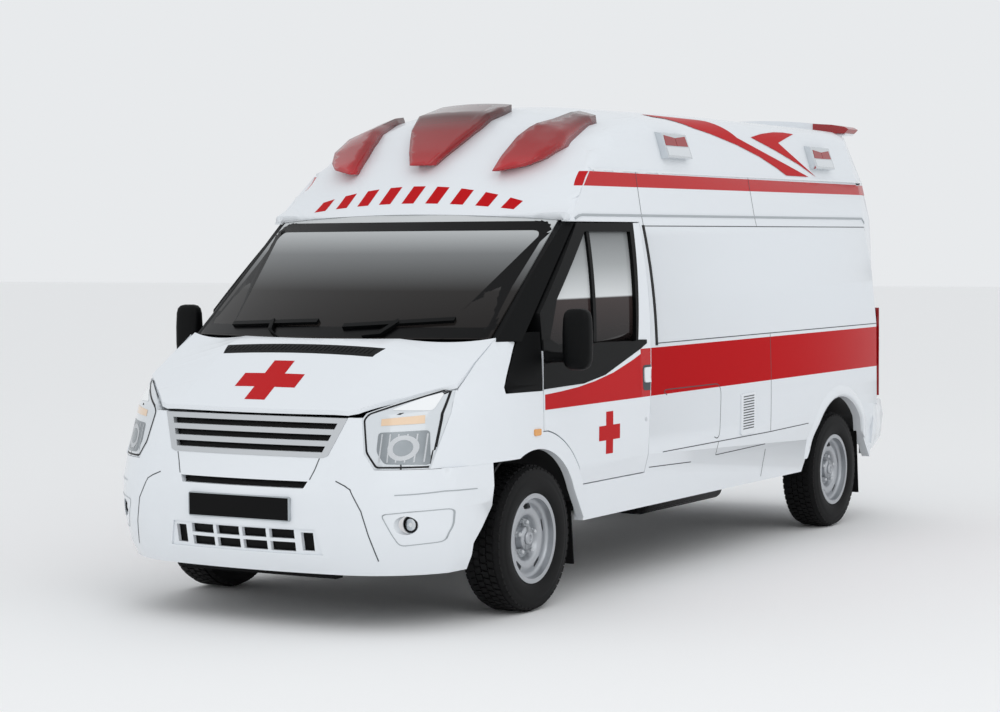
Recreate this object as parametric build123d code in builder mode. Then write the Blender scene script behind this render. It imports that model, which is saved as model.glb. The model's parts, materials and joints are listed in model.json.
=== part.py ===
"""Long-wheelbase, high-roofed van ambulance, as an assembly of body panels, doors and running gear.

Millimetres. +X forward, +Y left, +Z up, ground at Z = 0, origin under the middle of the bounding box.
Stations along the body are given from the front axle and turned into X by at().
"""
from build123d import *
from math import cos, hypot, radians, sin, sqrt, tan
import os

os.makedirs("parts", exist_ok=True)

# ---- Overall sizes -----------------------------------------------------------------------------
LENGTH = 5780
FRONT_OVERHANG = 1035
WHEELBASE = 3750
FRONT_AXLE = LENGTH / 2 - FRONT_OVERHANG
REAR_AXLE = -WHEELBASE              # station of the rear axle
REAR_END = FRONT_OVERHANG - LENGTH  # station of the rear bumper's face
TRACK_FRONT = 1740
TRACK_REAR = 1704

# ---- Wheels ------------------------------------------------------------------------------------
HUB_Z = 350
TYRE_R = 350
TYRE_WIDTH = 215
RIM_R = 205
RIM_GAP = 0.3
ARCH_R_FRONT = 426
ARCH_R_REAR = 449
ARCH_FOOT_FRONT = 500               # half the opening's width at the sill's underside
ARCH_FOOT_REAR = 545

# ---- Shell -------------------------------------------------------------------------------------
SILL_Z = 384
SWAGE_Z = 657
GUTTER_Z = 2115
WALL_T = 50                         # side wall, both skins
ROOF_T = 42
SHUT_GAP = 6                        # round doors and lids
SEAT = 0.3                          # between pieces that rest on each other
FLOOR_TOP = 680
FLOOR_T = 40
REAR_FOOT_Z = 566                   # foot of the rear doors
REAR_FOOT_X = -4722                 # their face at the foot
REAR_LEAN = 4.6                     # degrees, top leans forward
PORTAL_T = 240                      # depth of the rear portal
PORTAL_HALF_OPENING = 802
PORTAL_TOP = 2010

# ---- Cab doors, side view from the front axle --------------------------------------------------
DOOR_T = 62
DOOR_FRONT = -62
DOOR_FOOT_Z = 566
DOOR_TOP_Z = 1850
DOOR_ARC_R = 518                    # round the wheel arch
HINGE_LINE = (-44, 987)             # station and half width of the cab doors' pivots


def at(station):
    """X of a station given from the front axle."""
    return FRONT_AXLE + station


def side_face(y, points):
    """Side-view outline (station, z) as a face at half width y; it extrudes towards -Y."""
    with BuildSketch(Plane.XZ.offset(-y)) as outline:
        with BuildLine():
            Polyline([(at(s), z) for s, z in points], close=True)
        make_face()
    return outline.sketch


def cross_face(station, points):
    """Cross-section outline (y, z) as a face at a station; it extrudes forwards."""
    with BuildSketch(Plane.YZ.offset(at(station))) as outline:
        with BuildLine():
            Polyline(points, close=True)
        make_face()
    return outline.sketch


def plan_face(z, points):
    """Plan outline (station, y) as a face at a height; it extrudes upwards."""
    with BuildSketch(Plane.XY.offset(z)) as outline:
        with BuildLine():
            Polyline([(at(s), y) for s, y in points], close=True)
        make_face()
    return outline.sketch


def side_edge_line(inset):
    """Half the body's cross-section line, from sill to gutter, moved in by inset."""
    with BuildLine() as line:
        Polyline((964 - inset, SILL_Z), (967 - inset, DOOR_FOOT_Z), (987 - inset, SWAGE_Z))
        ThreePointArc((987 - inset, SWAGE_Z), (991 - inset, 950), (984 - inset, 1226))
        ThreePointArc((984 - inset, 1226), (953 - inset, 1555), (887 - inset, 1888))
        Line((887 - inset, 1888), (845 - inset, GUTTER_Z))
    return line.line


def wall_face(station, side, thickness, inset=0):
    """Section of a body side or door, as thick as the whole wall."""
    with BuildSketch(Plane.YZ.offset(at(station))) as section:
        with BuildLine():
            add(side_edge_line(inset))
            add(side_edge_line(inset + thickness))
            Line((964 - inset, SILL_Z), (964 - inset - thickness, SILL_Z))
            Line((845 - inset, GUTTER_Z), (845 - inset - thickness, GUTTER_Z))
        make_face()
        if side < 0:
            mirror(about=Plane.YZ, mode=Mode.REPLACE)
    return section.sketch


def arch_face(y, station, radius, foot, drop=200):
    """Wheel-arch opening: a round top that runs out into straight, splayed legs."""
    knee_x = radius * 0.88
    knee_z = HUB_Z + radius * 0.475
    with BuildSketch(Plane.XZ.offset(-y)) as opening:
        with BuildLine():
            ThreePointArc((at(station - knee_x), knee_z), (at(station), HUB_Z + radius),
                          (at(station + knee_x), knee_z))
            Polyline((at(station + knee_x), knee_z), (at(station + foot), SILL_Z),
                     (at(station + foot), SILL_Z - drop), (at(station - foot), SILL_Z - drop),
                     (at(station - foot), SILL_Z), (at(station - knee_x), knee_z))
        make_face()
    return opening.sketch


# ---- Shared outlines ---------------------------------------------------------------------------
LEAN_TAN = tan(radians(REAR_LEAN))
LEAN_COS = cos(radians(REAR_LEAN))
REAR_PLANE = Plane(origin=(at(REAR_FOOT_X), 0, REAR_FOOT_Z), x_dir=(0, 1, 0),
                   z_dir=(LEAN_COS, 0, -sin(radians(REAR_LEAN))))


def rear_x(z, depth=0):
    """Station of the leaning rear face at height z, or of a plane that far in front of it."""
    return REAR_FOOT_X + depth / LEAN_COS + (z - REAR_FOOT_Z) * LEAN_TAN


def on_rear(y, z):
    """Point of the rear plane's sketch at half width y and height z."""
    return (y, (z - REAR_FOOT_Z) / LEAN_COS)


PILLAR_SLOPE = (DOOR_TOP_Z - 1445) / (-95 + 563)      # windscreen pillar's rear edge, rise per run


def door_outline(y, grow):
    """Cab door in side view; grow > 0 gives the opening that leaves the shut gap."""
    foot = DOOR_FOOT_Z - grow
    arc_r = DOOR_ARC_R - grow
    top = DOOR_TOP_Z + grow
    front = DOOR_FRONT + grow
    arc_foot = -sqrt(arc_r ** 2 - (foot - HUB_Z) ** 2)
    arc_head = (-101 + grow, 0)
    arc_head = (arc_head[0], HUB_Z + sqrt(arc_r ** 2 - arc_head[0] ** 2))
    middle = (arc_r * -0.72, HUB_Z + arc_r * 0.694)
    knee = 1445 + (-95 + 1.3 * grow - front) * PILLAR_SLOPE
    pillar_top = -563 + 1.3 * grow - grow / PILLAR_SLOPE
    with BuildSketch(Plane.XZ.offset(-y)) as outline:
        with BuildLine():
            ThreePointArc((at(arc_head[0]), arc_head[1]), (at(middle[0]), middle[1]),
                          (at(arc_foot), foot))
            Polyline((at(arc_foot), foot), (at(-1150 - grow), foot), (at(-1240 - grow), top),
                     (at(pillar_top), top), (at(front), knee), (at(front), arc_head[1]),
                     (at(arc_head[0]), arc_head[1]))
        make_face()
    return outline.sketch


WINDOW = ((-136, 1262), (-150, 1310), (-242, 1480), (-628, 1806), (-1118, 1806), (-1034, 1246))


def shrunk(points, amount):
    """Points of an outline drawn in towards its middle by about amount."""
    mid_a = sum(p[0] for p in points) / len(points)
    mid_b = sum(p[1] for p in points) / len(points)
    out = []
    for a, b in points:
        reach = hypot(a - mid_a, b - mid_b)
        share = 1 - amount / reach
        out.append((mid_a + (a - mid_a) * share, mid_b + (b - mid_b) * share))
    return out


# ---- Body sides --------------------------------------------------------------------------------
BUMPER_REAR_TOP = 722
BUMPER_REAR_FOOT = 400
BUMPER_REAR_FRONT = -4302
SEAM_FRONT = (-505, 1866)            # fairing's lower edge, at the windscreen's top corner
SEAM_REAR = (-800, GUTTER_Z)
SLIDE_FRONT = -1320
SLIDE_REAR = -2640
SLIDE_FOOT = 600
SLIDE_TOP = 1990

body_outline = ((-492, SILL_Z), (BUMPER_REAR_FRONT, SILL_Z),
                (BUMPER_REAR_FRONT, BUMPER_REAR_TOP), (rear_x(BUMPER_REAR_TOP, PORTAL_T), BUMPER_REAR_TOP),
                (rear_x(GUTTER_Z, PORTAL_T), GUTTER_Z), SEAM_REAR, SEAM_FRONT,
                (SEAM_FRONT[0], DOOR_TOP_Z + SHUT_GAP), (-600, DOOR_TOP_Z + SHUT_GAP), (-600, 900), (-474, 900),
                (-474, 560))

# rear corners' rounding: height, half width of the wall and share of the full cut, which leaves the rear doors their corners
CORNER_ROWS = ((300, 960, 1), (700, 988, 1), (1226, 984, 1), (1555, 953, 1), (1888, 887, 0.5), (GUTTER_Z, 845, 0.55), (2600, 690, 1))
# station, and how far out of the wall the cut runs there
CORNER_PLAN = ((-4340, 8), (-4480, -48), (-4600, -100), (-4760, -150))

with BuildPart() as rear_corners:
    for side in (1, -1):
        for low_row, high_row in zip(CORNER_ROWS, CORNER_ROWS[1:]):
            for z, y, share in (low_row, high_row):
                with BuildSketch(Plane.XY.offset(z)):
                    with BuildLine():
                        Polyline([(at(x), side * (y + max(d, d * share))) for x, d in CORNER_PLAN], (at(-4760), side * (y + 200)), (at(-4340), side * (y + 200)), close=True)
                    make_face()
            loft(ruled=True)

PILLAR_B_REAR = -1279
body_solids = []
PILLAR_B = ((-1118, FLOOR_TOP + SEAT), (-1200, DOOR_TOP_Z), (PILLAR_B_REAR, DOOR_TOP_Z), (PILLAR_B_REAR, FLOOR_TOP + SEAT))

for side, side_name in ((1, "left"), (-1, "right")):
    with BuildPart() as pillar_b:
        extrude(wall_face(PILLAR_B_REAR, side, DOOR_T - WALL_T + SEAT + 20, WALL_T), amount=200)
        extrude(door_outline(1100, SHUT_GAP), amount=2200, mode=Mode.SUBTRACT)
        extrude(wall_face(PILLAR_B_REAR, side, 20, DOOR_T + SEAT), amount=200)
        extrude(side_face(1100, PILLAR_B), amount=2200, mode=Mode.INTERSECT)

    with BuildPart() as body_side:
        extrude(wall_face(-4720, side, WALL_T), amount=4400)
        extrude(side_face(1100, body_outline), amount=2200, mode=Mode.INTERSECT)
        extrude(door_outline(1100, SHUT_GAP), amount=2200, mode=Mode.SUBTRACT)
        extrude(arch_face(1100, REAR_AXLE, ARCH_R_REAR, ARCH_FOOT_REAR), amount=2200, mode=Mode.SUBTRACT)
        if side < 0:
            extrude(side_face(1100, ((SLIDE_FRONT, SLIDE_FOOT), (SLIDE_REAR, SLIDE_FOOT),
                                     (SLIDE_REAR, SLIDE_TOP), (SLIDE_FRONT, SLIDE_TOP))),
                    amount=2200, mode=Mode.SUBTRACT)
        add(pillar_b.part)
        add(rear_corners.part, mode=Mode.SUBTRACT)
    body_solids.append(body_side.part)
    body_side.part.label = "body_side_" + side_name
    export_step(body_side.part, "parts/body_side_" + side_name + ".step")

with BuildPart() as sliding_door:
    extrude(wall_face(-4720, -1, WALL_T), amount=4400)
    extrude(side_face(1100, ((SLIDE_FRONT - SEAT, SLIDE_FOOT + SEAT), (SLIDE_REAR + SEAT, SLIDE_FOOT + SEAT),
                             (SLIDE_REAR + SEAT, SLIDE_TOP - SEAT), (SLIDE_FRONT - SEAT, SLIDE_TOP - SEAT))),
            amount=2200, mode=Mode.INTERSECT)
sliding_door.part.label = "sliding_door"
export_step(sliding_door.part, "parts/sliding_door.step")

# ---- Rear portal and doors ---------------------------------------------------------------------
REAR_DOOR_T = 46
REAR_DOOR_TOP = 2004
PORTAL_FOOT = 500

HINGE_OUT = 32                       # rear doors' pivots stand this far behind the face
HINGE_Y = 799
HINGE_HEIGHTS = (890, 1300, 1800)
HINGE_R = 11


def hinge_bar(side, z, low, inner, outer):
    """Knuckle round a rear pivot with its leaf, from a height low above z; it extrudes along the pivot."""
    base = Plane(origin=(at(rear_x(z + low)), 0, z + low), x_dir=(0, 1, 0), z_dir=(sin(radians(REAR_LEAN)), 0, LEAN_COS))
    with BuildSketch(base) as knuckle_face:
        with Locations((side * HINGE_Y, HINGE_OUT)):
            Circle(HINGE_R)
        with BuildLine():
            Polyline((side * (HINGE_Y + inner), 0), (side * (HINGE_Y + outer), 0), (side * (HINGE_Y + outer), 4),
                     (side * (HINGE_Y + (inner + outer) / 4), HINGE_OUT + 6), (side * (HINGE_Y + inner), 4), close=True)
        make_face()
    return knuckle_face.sketch


with BuildPart() as rear_frame:
    with BuildSketch(REAR_PLANE):
        with BuildLine():
            Polyline(on_rear(845, GUTTER_Z), on_rear(887, 1888))
            ThreePointArc(on_rear(887, 1888), on_rear(953, 1555), on_rear(984, 1226))
            ThreePointArc(on_rear(984, 1226), on_rear(991, 950), on_rear(988, BUMPER_REAR_TOP))
            Polyline(on_rear(988, BUMPER_REAR_TOP), on_rear(880, BUMPER_REAR_TOP), on_rear(880, PORTAL_FOOT),
                     on_rear(0, PORTAL_FOOT), on_rear(0, GUTTER_Z), on_rear(845, GUTTER_Z))
        make_face()
        mirror(about=Plane.YZ)
    extrude(amount=PORTAL_T)
    with BuildSketch(REAR_PLANE):
        with BuildLine():
            Polyline(on_rear(-PORTAL_HALF_OPENING, REAR_FOOT_Z - SHUT_GAP), on_rear(PORTAL_HALF_OPENING, REAR_FOOT_Z - SHUT_GAP),
                     on_rear(PORTAL_HALF_OPENING, PORTAL_TOP), on_rear(-PORTAL_HALF_OPENING, PORTAL_TOP), close=True)
        make_face()
    extrude(amount=REAR_DOOR_T + SEAT, mode=Mode.SUBTRACT)
    with BuildSketch(REAR_PLANE):
        with BuildLine():
            Polyline(on_rear(-778, REAR_FOOT_Z + 20), on_rear(778, REAR_FOOT_Z + 20), on_rear(778, 1984), on_rear(-778, 1984), close=True)
        make_face()
    extrude(amount=PORTAL_T, mode=Mode.SUBTRACT)
    for side in (1, -1):
        extrude(plan_face(BUMPER_REAR_TOP - 60, ((-4800, side * 880), (-4500, side * 880), (-4500, side * 1000), (-4800, side * 1000))),
                amount=60, mode=Mode.SUBTRACT)
    add(rear_corners.part, mode=Mode.SUBTRACT)
    for side in (1, -1):
        for height in HINGE_HEIGHTS:
            for low in (36, -60):
                extrude(hinge_bar(side, height, low, 6, 32), amount=24)
rear_frame.part.label = "rear_frame"
export_step(rear_frame.part, "parts/rear_frame.step")

REAR_WINDOW = ((150, 1270), (660, 1270), (640, 1830), (170, 1830))
for side, side_name in ((1, "left"), (-1, "right")):
    inner_y = SHUT_GAP / 2
    outer_y = PORTAL_HALF_OPENING - SHUT_GAP
    with BuildPart() as rear_door:
        with BuildSketch(REAR_PLANE):
            with BuildLine():
                Polyline(on_rear(side * inner_y, REAR_FOOT_Z), on_rear(side * outer_y, REAR_FOOT_Z),
                         on_rear(side * outer_y, REAR_DOOR_TOP), on_rear(side * inner_y, REAR_DOOR_TOP), close=True)
            make_face()
            with BuildLine():
                Polyline([on_rear(side * y, z) for y, z in REAR_WINDOW], close=True)
            make_face(mode=Mode.SUBTRACT)
        extrude(amount=REAR_DOOR_T)
        for height in HINGE_HEIGHTS:
            extrude(hinge_bar(side, height, -30, -32, -4), amount=60)
    rear_door.part.label = "rear_door_" + side_name
    export_step(rear_door.part, "parts/rear_door_" + side_name + ".step")

    with BuildPart() as rear_glass:
        with BuildSketch(REAR_PLANE.offset(8)):
            with BuildLine():
                Polyline([on_rear(side * y, z) for y, z in shrunk(REAR_WINDOW, SEAT)], close=True)
            make_face()
        extrude(amount=6)
    rear_glass.part.label = "rear_glass_" + side_name
    export_step(rear_glass.part, "parts/rear_glass_" + side_name + ".step")

# ---- Cab doors, glass, mirrors -----------------------------------------------------------------
GLASS_INSET = 20
GLASS_T = 6
for side, side_name in ((1, "left"), (-1, "right")):
    with BuildPart() as cab_door:
        extrude(wall_face(-1400, side, DOOR_T), amount=1400)
        extrude(door_outline(1100, 0), amount=2200, mode=Mode.INTERSECT)
        extrude(side_face(1100, WINDOW), amount=2200, mode=Mode.SUBTRACT)
    cab_door.part.label = "cab_door_" + side_name
    export_step(cab_door.part, "parts/cab_door_" + side_name + ".step")

    with BuildPart() as door_glass:
        extrude(wall_face(-1400, side, GLASS_T, GLASS_INSET), amount=1400)
        extrude(side_face(1100, shrunk(WINDOW, SEAT)), amount=2200, mode=Mode.INTERSECT)
    door_glass.part.label = "door_glass_" + side_name
    export_step(door_glass.part, "parts/door_glass_" + side_name + ".step")

    with BuildPart() as mirror_part:
        with BuildSketch(Plane.XY.offset(1150)):
            with Locations((at(-100), side * 1148)):
                RectangleRounded(92, 160, 34)
        with BuildSketch(Plane.XY.offset(1440)):
            with Locations((at(-100), side * 1152)):
                RectangleRounded(80, 146, 34)
        loft()
        with BuildSketch(Plane.XZ.offset(-side * 975)):
            with Locations((at(-98), 1200)):
                RectangleRounded(56, 66, 20)
        extrude(amount=-side * 103)
        add(cab_door.part, mode=Mode.SUBTRACT)
    mirror_part.part.label = "mirror_" + side_name
    export_step(mirror_part.part, "parts/mirror_" + side_name + ".step")

# ---- High roof ---------------------------------------------------------------------------------
# Half width of the body above the doors, by height.
UPPER_WALL = ((1700, 914), (1888, 887), (GUTTER_Z, 845), (2425, 752), (2600, 700))
# station, top on the centre line, side knuckle, shoulder, shoulder radius
ROOF_STATIONS = ((-340, 1843, 1806, 1822, 8),
                 (-560, 2098, 1862, 1924, 12),
                 (-650, 2190, 1930, 2003, 16),
                 (-800, 2316, 2000, 2130, 30),
                 (-920, 2400, 2060, 2208, 45),
                 (-1150, 2468, 2115, 2320, 60),
                 (-1600, 2495, 2115, 2405, 70),
                 (-2800, 2510, 2115, 2425, 70),
                 (-4350, 2500, 2115, 2425, 70),
                 (-4640, 2440, 2115, 2380, 70))
ROOF_BASE = 1795
ROOF_REAR_WALL = 200                 # hollow ends this far ahead of the last section


def upper_wall(z):
    """Half width of the body at height z, above the doors."""
    for (z0, y0), (z1, y1) in zip(UPPER_WALL, UPPER_WALL[1:]):
        if z <= z1:
            return y0 + (y1 - y0) * (z - z0) / (z1 - z0)
    return UPPER_WALL[-1][1]


def roof_section(row, inset):
    """Closed section of the high roof at one station, moved in by inset."""
    station, top, knuckle, shoulder, radius = row
    base = (upper_wall(ROOF_BASE) - inset, ROOF_BASE - inset)
    side_low = (upper_wall(knuckle) - inset, knuckle - inset * 0.5)
    side_top = (upper_wall(shoulder - radius) - inset, shoulder - radius - inset * 0.4)
    turn = (upper_wall(shoulder) - radius * 0.25 - inset, shoulder - radius * 0.18 - inset * 0.8)
    crown = (upper_wall(shoulder) - radius * 1.1 - inset, shoulder + radius * 0.25 - inset)
    shift = inset * 1.5 if station > -1000 else 0
    if inset > 0 and station == ROOF_STATIONS[-1][0]:
        shift = -ROOF_REAR_WALL
    with BuildSketch(Plane.YZ.offset(at(station - shift))) as section:
        with BuildLine():
            Line((-base[0], base[1]), base)
            Line(base, side_low)
            Line(side_low, side_top)
            ThreePointArc(side_top, turn, crown)
            ThreePointArc(crown, (0, top - inset), (-crown[0], crown[1]))
            ThreePointArc((-crown[0], crown[1]), (-turn[0], turn[1]), (-side_top[0], side_top[1]))
            Line((-side_top[0], side_top[1]), (-side_low[0], side_low[1]))
            Line((-side_low[0], side_low[1]), (-base[0], base[1]))
        make_face()
    return section.sketch


SCREEN_TOP_MID = (-385, 1897)        # station and height of the fairing's lip on the centre line
SCREEN_TOP_END = (-504, 859, 1862)   # station, half width and height of its ends
behind_seam = (SEAM_FRONT, SEAM_REAR, (rear_x(GUTTER_Z) - 300, GUTTER_Z), (rear_x(GUTTER_Z) - 300, 1500),
               (SEAM_FRONT[0], 1500))

with BuildPart() as roof_outer:
    loft([roof_section(row, 0) for row in ROOF_STATIONS], ruled=True)

with BuildPart() as high_roof:
    add(roof_outer.part)
    loft([roof_section(row, ROOF_T) for row in ROOF_STATIONS], ruled=True, mode=Mode.SUBTRACT)
    extrude(side_face(1100, behind_seam), amount=2200, mode=Mode.SUBTRACT)
    with BuildSketch(Plane.YZ.offset(at(SEAM_FRONT[0]))):
        with BuildLine():
            ThreePointArc((-SCREEN_TOP_END[1], SCREEN_TOP_END[2]), (0, SCREEN_TOP_MID[1]), (SCREEN_TOP_END[1], SCREEN_TOP_END[2]))
            Polyline((SCREEN_TOP_END[1], SCREEN_TOP_END[2]), (1000, SCREEN_TOP_END[2]), (1000, 1500),
                     (-1000, 1500), (-1000, SCREEN_TOP_END[2]), (-SCREEN_TOP_END[1], SCREEN_TOP_END[2]))
        make_face()
    extrude(amount=500, mode=Mode.SUBTRACT)
    with BuildSketch(Plane.XY.offset(1500)):
        with BuildLine():
            ThreePointArc((at(SCREEN_TOP_END[0]), -SCREEN_TOP_END[1]), (at(SCREEN_TOP_MID[0]), 0),
                          (at(SCREEN_TOP_END[0]), SCREEN_TOP_END[1]))
            Polyline((at(SCREEN_TOP_END[0]), SCREEN_TOP_END[1]), (at(SCREEN_TOP_END[0]), 1000), (at(0), 1000),
                     (at(0), -1000), (at(SCREEN_TOP_END[0]), -1000), (at(SCREEN_TOP_END[0]), -SCREEN_TOP_END[1]))
        make_face()
    extrude(amount=1200, mode=Mode.SUBTRACT)
    extrude(side_face(1100, ((rear_x(1800), 1800), (rear_x(2700), 2700), (rear_x(1800) - 500, 2700),
                             (rear_x(1800) - 500, 1800))), amount=2200, mode=Mode.SUBTRACT)
    add(rear_corners.part, mode=Mode.SUBTRACT)
high_roof.part.label = "high_roof"
export_step(high_roof.part, "parts/high_roof.step")

# ---- Cab front: windscreen, pillars, cowl ------------------------------------------------------
SCREEN_FOOT_Z = 1303
SCREEN_HEAD_Z = 1905
SCREEN_T = 12                        # measured level, 7 mm square to the glass
# height, station on the centre line, station at the edge, half width
SCREEN_ROWS = ((SCREEN_FOOT_Z, 396, 204, 850), (SCREEN_HEAD_Z, -405, -553, 822))


def bow_band(z, mid, edge, half, depth, grow=0.0):
    """Plan band between a bowed front line and the same line a depth behind it."""
    with BuildSketch(Plane.XY.offset(z)) as band:
        with BuildLine():
            ThreePointArc((at(edge + grow), -half), (at(mid + grow), 0), (at(edge + grow), half))
            Line((at(edge + grow), half), (at(edge - depth), half))
            ThreePointArc((at(edge - depth), half), (at(mid - depth), 0), (at(edge - depth), -half))
            Line((at(edge - depth), -half), (at(edge + grow), -half))
        make_face()
    return band.sketch


with BuildPart() as windscreen:
    loft([bow_band(z, mid, edge, half, SCREEN_T) for z, mid, edge, half in SCREEN_ROWS], ruled=True)
    with BuildSketch(Plane.YZ.offset(at(-900))):
        with BuildLine():
            ThreePointArc((-SCREEN_TOP_END[1], SCREEN_TOP_END[2] - 1.2), (0, SCREEN_TOP_MID[1] - SEAT),
                          (SCREEN_TOP_END[1], SCREEN_TOP_END[2] - 1.2))
            Polyline((SCREEN_TOP_END[1], SCREEN_TOP_END[2] - 1.2), (1000, 2000), (-1000, 2000),
                     (-SCREEN_TOP_END[1], SCREEN_TOP_END[2] - 1.2))
        make_face()
    extrude(amount=1200, mode=Mode.SUBTRACT)
windscreen.part.label = "windscreen"
export_step(windscreen.part, "parts/windscreen.step")

PILLAR_FOOT_Z = 1290
PILLAR_HEAD_Z = DOOR_TOP_Z + SHUT_GAP - SEAT
PILLAR_FOOT = ((205, 852), (196, 882), (98, 962), (98, 890), (150, 852))
PILLAR_HEAD = ((-496, 826), (-500, 858), (-556, 889), (-556, 830), (-530, 818))
POST_REAR = -56                      # hinge post in front of the door
FIREWALL_X = 60
COWL_Z = 1180

with BuildPart() as cab_frame:
    for side in (1, -1):
        loft([plan_face(PILLAR_FOOT_Z, [(s, side * y) for s, y in PILLAR_FOOT]),
              plan_face(PILLAR_HEAD_Z, [(s, side * y) for s, y in PILLAR_HEAD])], ruled=True)
        extrude(plan_face(860, [(POST_REAR, side * 845), (96, side * 845), (96, side * 885), (POST_REAR, side * 885)]),
                amount=PILLAR_FOOT_Z - 860)
        extrude(plan_face(COWL_Z, [(60, side * 845), (130, side * 845), (130, side * 872), (60, side * 872)]),
                amount=PILLAR_FOOT_Z - COWL_Z)
    with BuildSketch(Plane.XY.offset(COWL_Z)):
        with BuildLine():
            ThreePointArc((at(180), -848), (at(370), 0), (at(180), 848))
            Polyline((at(180), 848), (at(40), 848), (at(40), -848), (at(180), -848))
        make_face()
    extrude(amount=PILLAR_FOOT_Z - COWL_Z)
    extrude(cross_face(40, ((-848, 860), (-848, 1200), (848, 1200), (848, 860), (530, 860), (530, FLOOR_TOP), (-530, FLOOR_TOP), (-530, 860))),
            amount=30)
cab_frame.part.label = "cab_frame"
export_step(cab_frame.part, "parts/cab_frame.step")

# ---- Bonnet ------------------------------------------------------------------------------------
BONNET_T = 22
LAMP_TIP = (548, 883, 1110)          # headlamp's rear tip: station, half width, height
LAMP_FOOT = (768, 879, 744)          # its outer lower corner
BONNET_REAR = (204, 884, 1308)       # bonnet's rear corner
# station, height on the centre line, at the shoulder crease, at the edge
BONNET_ROWS = ((912, 996, 992, 972), (860, 1034, 1028, 985), (720, 1130, 1120, 1012), (548, 1250, 1238, 1110),
               (480, 1284, 1272, 1150), (400, 1304, 1296, 1200), (204, 1345, 1338, 1308), (170, 1350, 1343, 1320))
CREASE_Y = 450
EDGE_Y = 884


def bonnet_section(row, drop, rise=0):
    """Section of the bonnet at one station: its top raised by rise, its underside drop lower."""
    station, mid, crease, edge = row
    mid += rise
    crease += rise
    edge += rise
    drop += rise
    with BuildSketch(Plane.YZ.offset(at(station))) as section:
        with BuildLine():
            Line((-EDGE_Y - 20, edge), (-CREASE_Y, crease))
            ThreePointArc((-CREASE_Y, crease), (0, mid), (CREASE_Y, crease))
            Polyline((CREASE_Y, crease), (EDGE_Y + 20, edge), (EDGE_Y + 20, edge - drop), (CREASE_Y, crease - drop))
            ThreePointArc((CREASE_Y, crease - drop), (0, mid - drop), (-CREASE_Y, crease - drop))
            Polyline((-CREASE_Y, crease - drop), (-EDGE_Y - 20, edge - drop), (-EDGE_Y - 20, edge))
        make_face()
    return section.sketch


def bonnet_plan(z, grow):
    """Plan outline of the bonnet; grow > 0 gives the opening that leaves the shut gap."""
    with BuildSketch(Plane.XY.offset(z)) as plan:
        with BuildLine():
            ThreePointArc((at(892 + grow), -517), (at(906 + grow), 0), (at(892 + grow), 517))
            Polyline((at(892 + grow), 517), (at(872 + grow), 562 + grow), (at(LAMP_TIP[0] + grow), LAMP_TIP[1] + grow),
                     (at(BONNET_REAR[0] - grow), BONNET_REAR[1] + grow))
            ThreePointArc((at(BONNET_REAR[0] - grow), BONNET_REAR[1] + grow), (at(410 - grow), 0),
                          (at(BONNET_REAR[0] - grow), -BONNET_REAR[1] - grow))
            Polyline((at(BONNET_REAR[0] - grow), -BONNET_REAR[1] - grow), (at(LAMP_TIP[0] + grow), -LAMP_TIP[1] - grow),
                     (at(872 + grow), -562 - grow), (at(892 + grow), -517))
        make_face()
    return plan.sketch


with BuildPart() as bonnet_skin:
    loft([bonnet_section(row, BONNET_T) for row in BONNET_ROWS], ruled=True)
    extrude(bonnet_plan(900, 0), amount=600, mode=Mode.INTERSECT)

VENT_OUTLINE = ((492, -458), (492, 458), (564, 432), (564, -432))
with BuildPart() as bonnet_vent:
    add(bonnet_skin.part)
    extrude(plan_face(900, shrunk(VENT_OUTLINE, SEAT * 2)), amount=600, mode=Mode.INTERSECT)
bonnet_vent.part.label = "bonnet_vent"
export_step(bonnet_vent.part, "parts/bonnet_vent.step")

with BuildPart() as bonnet:
    add(bonnet_skin.part)
    extrude(plan_face(900, VENT_OUTLINE), amount=600, mode=Mode.SUBTRACT)
bonnet.part.label = "bonnet"
export_step(bonnet.part, "parts/bonnet.step")

# rubber-topped stops under the bonnet's edges, carried by the wings
with BuildPart() as bonnet_stops:
    for side in (1, -1):
        for station in (300, 480):
            extrude(plan_face(1000, ((station, side * 800), (station + 40, side * 800), (station + 40, side * 872), (station, side * 872))), amount=320)
    loft([bonnet_section(row, BONNET_T + SEAT, 260) for row in BONNET_ROWS], ruled=True, mode=Mode.SUBTRACT)

with BuildPart() as bonnet_room:
    loft([bonnet_section(row, BONNET_T + SHUT_GAP, 120) for row in BONNET_ROWS], ruled=True)
    extrude(bonnet_plan(900, SHUT_GAP), amount=600, mode=Mode.INTERSECT)

# ---- Front wings and corner trims --------------------------------------------------------------
WING_T = 40
WING_HEIGHTS = (300, SWAGE_Z, 744, 983, 1080, 1200, 1330)
# station, half widths at those heights
WING_ROWS = ((-520, (963, 987, 989, 990, 988, 985, 974)),
             (-50, (963, 987, 989, 990, 988, 985, 974)),
             (240, (950, 985, 987, 976, 956, 925, 876)),
             (548, (930, 955, 953, 925, 893, 856, 800)),
             (800, (870, 868, 862, 815, 770, 720, 650)))
WING_SEAM_Z = 744                    # meets the bumper


def wing_strip(row, side, out, depth):
    """Section of the wing at one station, from out mm outside its skin to depth inside."""
    station, widths = row
    points = [(side * (y + out), z) for y, z in zip(widths, WING_HEIGHTS)]
    points += [(side * (y - depth), z) for y, z in reversed(list(zip(widths, WING_HEIGHTS)))]
    return cross_face(station, points)


trim_outline = ((-50, 1049.3), (223, 1056.3), (244, 1079), (102, 1284), (-44, 1398), (-50, 1402))
DOOR_ARC_WING = DOOR_ARC_R - SHUT_GAP

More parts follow.
